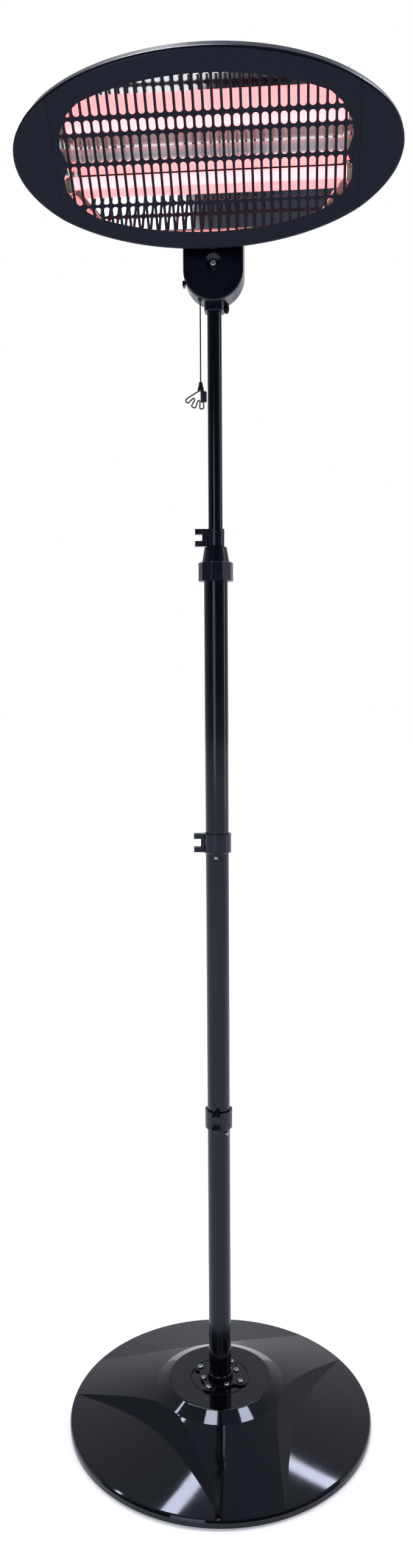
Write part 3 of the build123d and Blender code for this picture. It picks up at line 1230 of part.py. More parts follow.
def main():
    """Build every sub-part and write it under its own name."""
    save(make_base_cover(), "base_cover")
    save(make_base_weight(), "base_weight")
    save(make_base_pan(), "base_pan")
    save(make_rubber_feet(), "rubber_feet")
    save(make_pan_screws(), "pan_screws")
    save(make_backing_plate(), "backing_plate")
    save(make_mast_flange(), "mast_flange")
    inner, outer = flange_positions()
    save(make_flange_screws(inner, 8.0), "flange_screws_inner")
    save(make_flange_screws(outer, 8.0), "flange_screws_outer")
    save(make_tube_foot(), "tube_foot")

    save(make_lower_tube(), "lower_tube")
    save(make_middle_tube(), "middle_tube")
    save(make_outer_tube(), "outer_tube")
    save(make_snap_button(FIRST_JOINT, LOWER_BUTTON_ANGLE), "snap_button_lower")
    save(make_snap_button(SECOND_JOINT, UPPER_BUTTON_ANGLE), "snap_button_upper")
    save(make_leaf_spring(FIRST_JOINT, LOWER_BUTTON_ANGLE), "leaf_spring_lower")
    save(make_leaf_spring(SECOND_JOINT, UPPER_BUTTON_ANGLE), "leaf_spring_upper")
    save(make_collet(), "collet")
    save(make_lock_nut(), "lock_nut")
    save(make_inner_tube(), "inner_tube")
    save(make_guide_bush(), "guide_bush")
    save(make_cable_clip_top(), "cable_clip_top")
    save(make_cable_clip(SECOND_JOINT, CLIP_MIDDLE_ANGLE), "cable_clip_middle")
    save(make_cable_clip(FIRST_JOINT, CLIP_LOWER_ANGLE), "cable_clip_lower")

    save(make_neck_front_shell(), "neck_front_shell")
    save(make_neck_rear_shell(), "neck_rear_shell")
    save(make_tube_collar(), "tube_collar")
    save(make_neck_screw(), "neck_screw")
    save(make_pivot_bolt(), "pivot_bolt")
    save(make_pivot_sleeve(), "pivot_sleeve")
    save(make_pivot_washers(), "pivot_washers")
    save(make_tilt_knob(), "tilt_knob")
    save(make_cord_guide(), "cord_guide")
    save(make_switch_body(), "switch_body")
    save(make_switch_lever(), "switch_lever")
    save(make_cord_anchor(), "cord_anchor")
    save(make_pull_cord(), "pull_cord")
    save(make_cord_bell(), "cord_bell")
    save(make_cord_loops(), "cord_loops")
    save(make_cord_tag(), "cord_tag")
    save(make_cable_gland(), "cable_gland")
    save(make_terminal_block(), "terminal_block")

    shell = head_shell()
    save(make_front_panel(shell), "front_panel")
    left_cap, right_cap = make_end_caps(shell)
    save(left_cap, "end_cap_left")
    save(right_cap, "end_cap_right")
    save(make_rear_casing(), "rear_casing")
    save(make_casing_screws(), "casing_screws")
    save(make_reflector(), "reflector")
    for name, z in zip(("top", "middle", "bottom"), heat_tube_heights()):
        save(make_quartz_tube(z), f"quartz_tube_{name}")
        save(make_heating_coil(z), f"heating_coil_{name}")
    save(make_ceramic_caps(), "ceramic_caps")
    save(make_tube_holder(-1), "tube_holder_left")
    save(make_tube_holder(1), "tube_holder_right")
    save(make_link_strips(), "link_strips")
    save(make_thermal_cutout(), "thermal_cutout")
    save(make_pivot_bracket(), "pivot_bracket")


main()
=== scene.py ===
"""Infrared patio heater tower, dressed for its studio picture.

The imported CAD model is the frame. This script gives every piece its finish, puts a
pressed reflector, wound heating elements and a pull cord in place of their plain CAD
pieces, and sets up floor, lamps and camera.
"""

from __future__ import annotations

import logging
import math
from dataclasses import dataclass, field
from enum import Enum

import bmesh
import bpy
from mathutils import Matrix, Vector

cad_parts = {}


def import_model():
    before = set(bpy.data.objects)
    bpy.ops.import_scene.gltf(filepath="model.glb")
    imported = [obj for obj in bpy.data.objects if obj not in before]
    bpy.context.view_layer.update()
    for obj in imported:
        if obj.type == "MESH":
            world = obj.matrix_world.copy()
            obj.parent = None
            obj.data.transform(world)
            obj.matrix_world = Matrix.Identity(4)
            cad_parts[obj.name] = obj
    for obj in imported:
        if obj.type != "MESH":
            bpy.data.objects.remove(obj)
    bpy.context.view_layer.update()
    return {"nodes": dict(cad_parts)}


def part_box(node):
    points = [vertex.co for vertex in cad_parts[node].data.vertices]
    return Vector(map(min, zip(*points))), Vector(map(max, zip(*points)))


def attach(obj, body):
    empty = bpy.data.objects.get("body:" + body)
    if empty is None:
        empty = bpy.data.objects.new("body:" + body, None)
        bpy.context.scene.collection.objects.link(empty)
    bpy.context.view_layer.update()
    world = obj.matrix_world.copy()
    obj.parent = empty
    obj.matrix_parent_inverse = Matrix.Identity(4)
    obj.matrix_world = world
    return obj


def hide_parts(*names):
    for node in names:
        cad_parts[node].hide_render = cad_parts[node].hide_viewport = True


LOG = logging.getLogger("patio_heater")
MM = 0.001
WHITE = (1.0, 1.0, 1.0, 1.0)

# How the patches and the fine grain of every plain finish are drawn.
PATCH_LAYERS = 4.0
PATCH_CONTRAST = 0.55
PATCH_REACH = (0.3, 0.7)        # where most of the noise lies
SMOOTHEST = 0.02
GRAIN_LAYERS = 2.0
GRAIN_STRENGTH = 0.35

WELD = 1e-6                     # metres within which a cut takes points as one


# ------------------------------------------------------------------ small helpers
def linear(hex_colour: str) -> tuple[float, float, float, float]:
    """Turn an sRGB hex value into the linear colour that shaders use.

    Args:
        hex_colour: Six hex digits, with or without a leading #.

    Returns:
        Linear red, green, blue and an alpha of 1.
    """
    digits = hex_colour.lstrip("#")
    parts = [int(digits[k:k + 2], 16) / 255 for k in (0, 2, 4)]
    steps = [c / 12.92 if c <= 0.04045 else ((c + 0.055) / 1.055) ** 2.4 for c in parts]
    return (steps[0], steps[1], steps[2], 1.0)


def add_node(tree: bpy.types.NodeTree, kind: str, links: dict | None = None,
             inputs: dict | None = None, **settings) -> bpy.types.Node:
    """Add one node to a shader tree.

    Args:
        tree: The tree that gets the node.
        kind: The node's type name, without the ShaderNode prefix.
        links: Input name or index to the output socket that feeds it.
        inputs: Input name or index to a fixed value.
        **settings: Attributes of the node, such as operation.

    Returns:
        The new node.
    """
    node = tree.nodes.new("ShaderNode" + kind)
    for name, value in settings.items():
        setattr(node, name, value)
    for name, value in (inputs or {}).items():
        node.inputs[name].default_value = value
    for name, socket in (links or {}).items():
        tree.links.new(socket, node.inputs[name])
    return node


def new_material(name: str) -> tuple[bpy.types.Material, bpy.types.NodeTree, bpy.types.Node]:
    """Start a node material.

    Args:
        name: The material's name.

    Returns:
        The material, its node tree and its Principled shader.
    """
    material = bpy.data.materials.new(name)
    material.use_nodes = True
    tree = material.node_tree
    return material, tree, tree.nodes["Principled BSDF"]


def as_piece(name: str, mesh: bmesh.types.BMesh, smooth: bool = True) -> bpy.types.Object:
    """Make a finished object from a bmesh, at the origin, unturned and unscaled.

    Args:
        name: The piece's name.
        mesh: The bmesh in metres, freed here.
        smooth: Whether its faces are shaded smooth.

    Returns:
        The linked object.
    """
    bmesh.ops.recalc_face_normals(mesh, faces=mesh.faces)
    data = bpy.data.meshes.new(name)
    mesh.to_mesh(data)
    mesh.free()
    for face in data.polygons:
        face.use_smooth = smooth
    piece = bpy.data.objects.new(name, data)
    bpy.context.scene.collection.objects.link(piece)
    return piece


# ------------------------------------------------------------------ finishes
class Grain(Enum):
    """What the fine surface of a finish is like."""

    PEEL = "orange peel of a stoved enamel"
    POWDER = "fine pebble of a powder coat"
    MOULD = "etched grain of a moulding tool"
    BRUSHED = "lines of rolling or brushing"
    CAST = "pores of a cast or pressed body"


@dataclass(frozen=True)
class Finish:
    """One surface finish, built once as a node material."""

    name: str
    colour: str
    worn: str
    roughness: float
    grain: Grain
    grain_mm: float
    depth_mm: float
    metallic: float = 0.0
    ior: float = 1.5
    spread: float = 0.05
    patch_mm: float = 60.0
    stretch: tuple[float, float, float] = (1.0, 1.0, 1.0)
    tint: str = "#FFFFFF"

    def build(self) -> bpy.types.Material:
        """Build the node material.

        Returns:
            The material, with colour and roughness patches and a fine bump.
        """
        material, tree, shader = new_material(self.name)
        shader.inputs["Metallic"].default_value = self.metallic
        if self.metallic == 0.0:
            shader.inputs["IOR"].default_value = self.ior
            shader.inputs["Specular Tint"].default_value = linear(self.tint)
        place = add_node(tree, "TexCoord").outputs["Object"]
        place = add_node(tree, "Mapping", {"Vector": place}, {"Scale": self.stretch}).outputs[0]
        patches = add_node(tree, "TexNoise", {"Vector": place},
                           {"Scale": 1 / (self.patch_mm * MM), "Detail": PATCH_LAYERS,
                            "Roughness": PATCH_CONTRAST})
        colours = add_node(tree, "Mix", {0: patches.outputs["Fac"]}, data_type="RGBA")
        colours.inputs[6].default_value = linear(self.colour)
        colours.inputs[7].default_value = linear(self.worn)
        tree.links.new(colours.outputs[2], shader.inputs["Base Color"])
        rough = add_node(tree, "MapRange", {"Value": patches.outputs["Fac"]},
                         {"From Min": PATCH_REACH[0], "From Max": PATCH_REACH[1],
                          "To Min": max(SMOOTHEST, self.roughness - self.spread),
                          "To Max": self.roughness + self.spread})
        tree.links.new(rough.outputs[0], shader.inputs["Roughness"])
        if self.grain in (Grain.CAST, Grain.MOULD):
            fine = add_node(tree, "TexVoronoi", {"Vector": place},
                            {"Scale": 1 / (self.grain_mm * MM)}, feature="SMOOTH_F1")
            height = fine.outputs["Distance"]
        else:
            fine = add_node(tree, "TexNoise", {"Vector": place},
                            {"Scale": 1 / (self.grain_mm * MM), "Detail": GRAIN_LAYERS})
            height = fine.outputs["Fac"]
        bump = add_node(tree, "Bump", {"Height": height},
                        {"Strength": GRAIN_STRENGTH, "Distance": self.depth_mm * MM})
        tree.links.new(bump.outputs[0], shader.inputs["Normal"])
        return material


@dataclass(frozen=True)
class QuartzFinish:
    """Clear fused quartz tube, pink where the wire inside it is lit."""

    name: str
    glow: str
    strength: float
    clear: float
    colour: str = "#E6E4E2"
    roughness: float = 0.06
    ior: float = 1.46
    haze_scale: float = 90.0        # patches of about 11 mm
    haze_layers: float = 3.0
    haze: float = 0.05

    def build(self) -> bpy.types.Material:
        """Build the tube's material: thin glass that shows the wire, with a soft glow.

        Returns:
            The material, lit where its strength is above zero.
        """
        material, tree, shader = new_material(self.name)
        shader.inputs["Base Color"].default_value = linear(self.colour)
        shader.inputs["Roughness"].default_value = self.roughness
        shader.inputs["IOR"].default_value = self.ior
        place = add_node(tree, "TexCoord").outputs["Object"]
        haze = add_node(tree, "TexNoise", {"Vector": place},
                        {"Scale": self.haze_scale, "Detail": self.haze_layers})
        veil = add_node(tree, "MapRange", {"Value": haze.outputs["Fac"]},
                        {"To Min": 1 - self.clear - self.haze,
                         "To Max": 1 - self.clear + self.haze})
        tree.links.new(veil.outputs[0], shader.inputs["Alpha"])
        if self.strength > 0:
            shader.inputs["Emission Color"].default_value = linear(self.glow)
            shader.inputs["Emission Strength"].default_value = self.strength
        return material


@dataclass(frozen=True)
class WireFinish:
    """Resistance wire: dull oxide when cold, nearly white when lit."""

    name: str
    colour: str
    glow: str
    strength: float
    oxide: str = "#6A5A55"
    metallic: float = 0.6
    roughness: float = 0.5
    oxide_scale: float = 220.0      # patches of about 4.5 mm
    oxide_layers: float = 3.0

    def build(self) -> bpy.types.Material:
        """Build the wire's material.

        Returns:
            The material, lit where its strength is above zero.
        """
        material, tree, shader = new_material(self.name)
        shader.inputs["Metallic"].default_value = self.metallic
        shader.inputs["Roughness"].default_value = self.roughness
        place = add_node(tree, "TexCoord").outputs["Object"]
        oxide = add_node(tree, "TexNoise", {"Vector": place},
                         {"Scale": self.oxide_scale, "Detail": self.oxide_layers})
        colours = add_node(tree, "Mix", {0: oxide.outputs["Fac"]}, data_type="RGBA")
        colours.inputs[6].default_value = linear(self.colour)
        colours.inputs[7].default_value = linear(self.oxide)
        tree.links.new(colours.outputs[2], shader.inputs["Base Color"])
        if self.strength > 0:
            shader.inputs["Emission Color"].default_value = linear(self.glow)
            shader.inputs["Emission Strength"].default_value = self.strength
        return material


@dataclass(frozen=True)
class BraidFinish:
    """Braided polyester cord: crossed dark strands, with a painted highlight on their crests."""

    name: str
    colour: str
    # painted highlight: the lighter colour given to the crests of the strands
    painted_crest_highlight: str
    strand_mm: float
    lay: float = math.radians(35)
    roughness: float = 0.7
    sheen: float = 0.04
    relief: float = 0.6
    relief_mm: float = 0.1

    def build(self) -> bpy.types.Material:
        """Build the braid from two crossed sets of waves.

        Returns:
            The material of the cord.
        """
        material, tree, shader = new_material(self.name)
        shader.inputs["Roughness"].default_value = self.roughness
        shader.inputs["Sheen Weight"].default_value = self.sheen
        place = add_node(tree, "TexCoord").outputs["Object"]
        waves = []
        for turn in (self.lay, -self.lay):
            turned = add_node(tree, "Mapping", {"Vector": place}, {"Rotation": (0.0, turn, 0.0)})
            waves.append(add_node(tree, "TexWave", {"Vector": turned.outputs[0]},
                                  {"Scale": 1 / (self.strand_mm * MM) / math.tau},
                                  bands_direction="Z"))
        cross = add_node(tree, "Math", {0: waves[0].outputs["Fac"], 1: waves[1].outputs["Fac"]},
                         operation="MAXIMUM")
        # Painted highlight: the crests of the crossed strands are coloured lighter, as if they
        # caught the light.
        colours = add_node(tree, "Mix", {0: cross.outputs[0]}, data_type="RGBA")
        colours.inputs[6].default_value = linear(self.colour)
        colours.inputs[7].default_value = linear(self.painted_crest_highlight)
        tree.links.new(colours.outputs[2], shader.inputs["Base Color"])
        bump = add_node(tree, "Bump", {"Height": cross.outputs[0]},
                        {"Strength": self.relief, "Distance": self.relief_mm * MM})
        tree.links.new(bump.outputs[0], shader.inputs["Normal"])
        return material


AnyFinish = Finish | QuartzFinish | WireFinish | BraidFinish

# Stoved gloss enamel on pressed steel: a deep wet black with sharp reflections.
ENAMEL = Finish("stoved_black_enamel", "#050609", "#08090C", 0.05, Grain.PEEL, 6.0, 0.006,
                ior=1.4, spread=0.015, patch_mm=90.0, tint="#E4EAFF")
# Powder coated tube: black with a blue cast, reflections drawn soft.
TUBE_COAT = Finish("powder_coated_tube", "#07080E", "#0B0C13", 0.14, Grain.POWDER, 1.2, 0.003,
                   ior=1.42, patch_mm=70.0, tint="#DCE4FF")
# Powder coated head: flatter than the tube, grain just visible.
HEAD_COAT = Finish("powder_coated_head", "#0C1120", "#140F10", 0.28, Grain.POWDER, 0.9, 0.008,
                   ior=1.29, patch_mm=160.0, tint="#D3DEFF")
# Moulded ABS: semi-gloss black with the faint grain of its tool.
NECK_ABS = Finish("moulded_abs_neck", "#070912", "#0B0C13", 0.18, Grain.MOULD, 1.1, 0.003,
                  ior=1.45, patch_mm=40.0, tint="#D8E0FF")
# Moulded nylon: clips, nut and knob, a little greyer and duller.
NYLON = Finish("moulded_nylon", "#08090F", "#0D0E14", 0.26, Grain.MOULD, 1.0, 0.004,
               ior=1.45, patch_mm=30.0, tint="#E0E6FF")
# Blackened steel: a thin worn phosphate skin that mirrors as mid grey.
BLACK_SCREW = Finish("blackened_steel", "#77777B", "#9A9A9E", 0.34, Grain.BRUSHED, 0.6, 0.01,
                     metallic=1.0, patch_mm=6.0)
# Zinc plated steel: bright, slightly blue, with dull patches.
ZINC = Finish("zinc_plated_steel", "#A9ACB2", "#8E9196", 0.28, Grain.BRUSHED, 0.5, 0.01,
              metallic=1.0, patch_mm=8.0)
# Spring steel: tempered strip with an oil film.
SPRING = Finish("tempered_spring_steel", "#6E737C", "#595E68", 0.3, Grain.BRUSHED, 0.5, 0.01,
                metallic=1.0, patch_mm=8.0)
# Bright rolled aluminium: mirror sheet with long faint roll lines.
REFLECTOR = Finish("bright_rolled_aluminium", "#DDDCDA", "#D2D1CF", 0.05, Grain.BRUSHED, 9.0,
                   0.002, metallic=1.0, spread=0.02, patch_mm=40.0, stretch=(0.08, 1.0, 1.0))
# Plain rolled steel sheet: holders and link strips.
SHEET_STEEL = Finish("plain_rolled_steel", "#B5B2AB", "#9A968E", 0.35, Grain.BRUSHED, 1.2, 0.01,
                     metallic=1.0, patch_mm=20.0)
# Steatite: cream pressed ceramic, dry and slightly speckled.
STEATITE = Finish("pressed_steatite", "#DDD3BD", "#CBBFA6", 0.6, Grain.CAST, 1.0, 0.03,
                  ior=1.6, patch_mm=12.0)
# Natural rubber pad: matt, dusty black.
RUBBER = Finish("moulded_rubber", "#1A1A1A", "#26262A", 0.75, Grain.CAST, 1.2, 0.03,
                ior=1.52, patch_mm=12.0)
# Cast concrete: pale grey with pores.
CONCRETE = Finish("cast_concrete", "#9C9992", "#7F7C75", 0.85, Grain.CAST, 3.0, 0.4,
                  patch_mm=35.0)
# Pale urea moulding of the switch and the terminals.
UREA = Finish("urea_moulding", "#CFCCC2", "#BDB9AC", 0.4, Grain.MOULD, 0.8, 0.01,
              ior=1.55, patch_mm=12.0)
# Fused quartz: clear round the cold wire, glowing pink round the lit ones.
CLEAR_QUARTZ = QuartzFinish("clear_fused_quartz", "#FFFFFF", 0.0, 0.62)
LIT_QUARTZ = QuartzFinish("lit_fused_quartz", "#FF888F", 1.6, 0.35)
# Resistance wire: brown oxide when cold, pale rose white when lit.
COLD_WIRE = WireFinish("cold_resistance_wire", "#8A7A70", "#000000", 0.0)
LIT_WIRE = WireFinish("lit_resistance_wire", "#8A4A40", "#FFD9D2", 4.0)
# Braided polyester: crossed dark strands with a faint sheen and a painted highlight on their
# crests, drawn as coarse as they need to show.
CORD_BRAID = BraidFinish("braided_polyester", "#141417", "#2C2C31", 0.8)

NODE_FINISHES: dict[AnyFinish, tuple[str, ...]] = {
    ENAMEL: ("base_cover", "base_pan", "mast_flange", "tube_foot"),
    TUBE_COAT: ("lower_tube", "middle_tube", "outer_tube", "inner_tube"),
    HEAD_COAT: ("front_panel", "end_cap_left", "end_cap_right", "rear_casing", "backing_plate",
                "pivot_bracket"),
    NECK_ABS: ("neck_front_shell", "neck_rear_shell", "tube_collar", "cord_guide"),
    NYLON: ("collet", "lock_nut", "guide_bush", "cable_clip_top", "cable_clip_middle",
            "cable_clip_lower", "tilt_knob", "cord_bell", "cord_tag", "cable_gland",
            "thermal_cutout"),
    BLACK_SCREW: ("casing_screws", "pivot_washers", "pivot_sleeve", "snap_button_lower",
                  "snap_button_upper"),
    ZINC: ("flange_screws_inner", "flange_screws_outer", "pan_screws", "neck_screw",
           "pivot_bolt"),
    SPRING: ("leaf_spring_lower", "leaf_spring_upper"),
    REFLECTOR: ("reflector",),
    SHEET_STEEL: ("tube_holder_left", "tube_holder_right", "link_strips"),
    STEATITE: ("ceramic_caps",),
    RUBBER: ("rubber_feet",),
    CONCRETE: ("base_weight",),
    UREA: ("switch_body", "switch_lever", "terminal_block"),
    LIT_QUARTZ: ("quartz_tube_top", "quartz_tube_bottom"),
    CLEAR_QUARTZ: ("quartz_tube_middle",),
    CORD_BRAID: ("cord_anchor",),
}


@dataclass
class FinishBook:
    """Builds each finish once and hands out its material."""

    made: dict[str, bpy.types.Material] = field(default_factory=dict)

    def material(self, finish: AnyFinish) -> bpy.types.Material:
        """Give the material of a finish, built the first time it is asked for.

        Args:
            finish: The finish that is wanted.

        Returns:
            Its one material.
        """
        if finish.name not in self.made:
            self.made[finish.name] = finish.build()
        return self.made[finish.name]

    def dress(self, piece: bpy.types.Object, finish: AnyFinish) -> None:
        """Put one finish on every material slot of a piece.

        Args:
            piece: The piece to dress.
            finish: What it is finished in.
        """
        material = self.material(finish)
        if not piece.material_slots:
            piece.data.materials.append(material)
        for slot in piece.material_slots:
            slot.material = material

    def dress_nodes(self, nodes: dict[str, bpy.types.Object]) -> None:
        """Give every carried-over CAD node its finish.

        Args:
            nodes: The frame's node objects by name.
        """
        for finish, names in NODE_FINISHES.items():
            for name in names:
                self.dress(nodes[name], finish)
                LOG.info("finish %s on %s", finish.name, name)


# ------------------------------------------------------------------ reflector
@dataclass
class Reflector:
    """The pressed sheet behind the tubes: flat back, slanted top, bottom, ends and corners.

    It is drawn in the head's own frame: X to the right, Y into the head, Z up the panel.
    Its section, end line and corner point are in millimetres, the other sizes in metres.
    """

    book: FinishBook
    forward: float = 112.9 * MM
    height: float = 1697.8 * MM
    tilt: float = math.radians(45.0)
    front: float = -7.7 * MM
    sheet: float = 1.0 * MM
    bend: float = 1.5 * MM
    bend_steps: int = 3
    blank_half: float = 200.0 * MM      # longer than the tray, which its end planes cut
    section: tuple[tuple[float, float], ...] = (
        (-7.7, 84.3), (26.5, 79.0), (35.5, 39.0), (35.5, -40.0), (-3.0, -90.2), (-7.7, -90.6))
    end_line: tuple[tuple[float, float], ...] = ((177.2, -7.7), (164.2, 35.5))
    corner_point: tuple[float, float, float] = (122.2, -7.7, 87.5)
    corner_normal: tuple[float, float, float] = (1265.0, 845.0, 1881.0)   # outwards, any length
    mid_height: float = -3.15 * MM      # the lower corners mirror the upper ones about this
    hole_depth: float = 14.0 * MM
    hole_heights: tuple[float, ...] = (28.0 * MM, -4.0 * MM, -36.0 * MM)
    hole_half: float = 8.4 * MM
    end_facing: float = 0.9

    def cut(self, mesh: bmesh.types.BMesh, point: Vector, normal: Vector) -> None:
        """Cut the closed blank by a plane, drop what lies outside it and close the cut.

        Args:
            mesh: The blank.
            point: A point of the plane.
            normal: The plane's outward direction.
        """
        geometry = mesh.verts[:] + mesh.edges[:] + mesh.faces[:]
        result = bmesh.ops.bisect_plane(mesh, geom=geometry, dist=WELD, plane_co=point,
                                        plane_no=normal, clear_outer=True)
        rim = [part for part in result["geom_cut"] if isinstance(part, bmesh.types.BMEdge)]
        bmesh.ops.contextual_create(mesh, geom=rim)

    def blank(self) -> bmesh.types.BMesh:
        """Extrude the section along X and cut its ends and corners to the tray's outline.

        Returns:
            The closed blank, in the head's own frame.
        """
        mesh = bmesh.new()
        ring = [mesh.verts.new((-self.blank_half, y * MM, z * MM)) for y, z in self.section]
        face = mesh.faces.new(ring)
        pulled = bmesh.ops.extrude_face_region(mesh, geom=[face])
        moved = [part for part in pulled["geom"] if isinstance(part, bmesh.types.BMVert)]
        bmesh.ops.translate(mesh, verts=moved, vec=(2 * self.blank_half, 0.0, 0.0))
        (near_x, near_y), (far_x, far_y) = self.end_line
        across = Vector((far_y - near_y, near_x - far_x, 0.0)).normalized()
        x, y, z = self.corner_point
        slant = Vector(self.corner_normal).normalized()
        for side in (-1, 1):
            flip = Vector((side, 1, 1))
            self.cut(mesh, Vector((side * near_x, near_y, 0.0)) * MM, across * flip)
            self.cut(mesh, Vector((side * x, y, z)) * MM, slant * flip)
            low = Vector((side * x * MM, y * MM, 2 * self.mid_height - z * MM))
            self.cut(mesh, low, slant * Vector((side, 1, -1)))
        return mesh

    def end_faces(self, mesh: bmesh.types.BMesh) -> list[bmesh.types.BMFace]:
        """Give the faces of the two end walls, which look nearly along X."""
        return [face for face in mesh.faces if abs(face.normal.x) > self.end_facing]

    def pierce(self, mesh: bmesh.types.BMesh) -> None:
        """Open the square holes in the ends that the ceramic caps pass through.

        Args:
            mesh: The open tray, with its normals up to date.
        """
        levels = [z + side * self.hole_half for z in self.hole_heights for side in (-1, 1)]
        planes = [((0.0, 0.0, z), (0.0, 0.0, 1.0)) for z in levels]
        planes += [((0.0, self.hole_depth + side * self.hole_half, 0.0), (0.0, 1.0, 0.0))
                   for side in (-1, 1)]
        for point, normal in planes:
            faces = self.end_faces(mesh)
            edges = list({edge for f in faces for edge in f.edges})
            verts = list({vert for f in faces for vert in f.verts})
            bmesh.ops.bisect_plane(mesh, geom=faces + edges + verts, dist=WELD,
                                   plane_co=point, plane_no=normal)
            mesh.normal_update()
        opened = []
        for face in self.end_faces(mesh):
            middle = face.calc_center_median()
            if abs(middle.y - self.hole_depth) < self.hole_half and any(
                    abs(middle.z - z) < self.hole_half for z in self.hole_heights):
                opened.append(face)
        bmesh.ops.delete(mesh, geom=opened, context="FACES")

    def build(self) -> bpy.types.Object:
        """Press the tray, open its ends and set it in the tilted head.

        Returns:
            The reflector in its place, standing for its CAD node.
        """
        mesh = self.blank()
        bmesh.ops.recalc_face_normals(mesh, faces=mesh.faces)
        mouth = [face for face in mesh.faces
                 if face.calc_center_median().y < self.front + 10 * WELD]
        rim = {edge for face in mouth for edge in face.edges}
        bmesh.ops.delete(mesh, geom=mouth, context="FACES_ONLY")
        bends = [edge for edge in mesh.edges if edge not in rim]
        bmesh.ops.bevel(mesh, geom=bends, offset=self.bend, offset_type="OFFSET",
                        segments=self.bend_steps, profile=0.5, affect="EDGES", material=-1)
        mesh.normal_update()
        self.pierce(mesh)
        bmesh.ops.solidify(mesh, geom=mesh.faces[:], thickness=-self.sheet)
        to_head = (Matrix.Translation((0.0, -self.forward, self.height))
                   @ Matrix.Rotation(self.tilt, 4, "X"))
        bmesh.ops.transform(mesh, matrix=to_head, verts=mesh.verts)
        tray = as_piece("pressed_reflector", mesh, smooth=False)
        self.book.dress(tray, REFLECTOR)
        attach(tray, "head")
        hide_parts("reflector")
        LOG.info("pressed reflector: %d faces", len(tray.data.polygons))
        return tray


# ------------------------------------------------------------------ heating elements
@dataclass
class HeatingElements:
    """The wound wires inside the three quartz tubes."""

    book: FinishBook
    turns: int = 96
    steps_per_turn: int = 14
    wire_sides: int = 6
    wire_radius: float = 0.42 * MM
    coil_radius: float = 3.6 * MM
    tail: float = 17.0 * MM
    lit: tuple[str, ...] = ("top", "bottom")

    def wind(self, name: str) -> bpy.types.Object:
        """Wind one element by spinning the wire's section along its tube.

        Args:
            name: Which tube it lies in: top, middle or bottom.

        Returns:
            The coil, in its place along the node it replaces.
        """
        node = f"heating_coil_{name}"
        low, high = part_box(node)
        centre = (low + high) / 2
        reach = (high.x - low.x) / 2 - self.tail
        mesh = bmesh.new()
        ring = bmesh.ops.create_circle(mesh, segments=self.wire_sides, radius=self.wire_radius)
        # Known fault: turned about Z, the ring lies in the plane that it is spun in, so the
        # wire comes out as a flat strip. Without that turn it would be round.
        quarter = math.radians(90)
        start = (Matrix.Translation((-reach, 0.0, self.coil_radius))
                 @ Matrix.Rotation(quarter, 4, "Z") @ Matrix.Rotation(quarter, 4, "X"))
        bmesh.ops.transform(mesh, matrix=start, verts=ring["verts"])
        steps = self.turns * self.steps_per_turn
        bmesh.ops.spin(mesh, geom=mesh.verts[:] + mesh.edges[:], cent=(0.0, 0.0, 0.0),
                       axis=(1.0, 0.0, 0.0), dvec=(2 * reach / steps, 0.0, 0.0),
                       angle=math.tau * self.turns, steps=steps, use_merge=False)
        bmesh.ops.translate(mesh, verts=mesh.verts, vec=centre)
        coil = as_piece(f"wound_element_{name}", mesh)
        self.book.dress(coil, LIT_WIRE if name in self.lit else COLD_WIRE)
        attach(coil, "head")
        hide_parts(node)
        LOG.info("wound element %s: %d turns", name, self.turns)
        return coil

    def build(self) -> None:
        """Wind the three elements."""
        for name in ("top", "middle", "bottom"):
            self.wind(name)


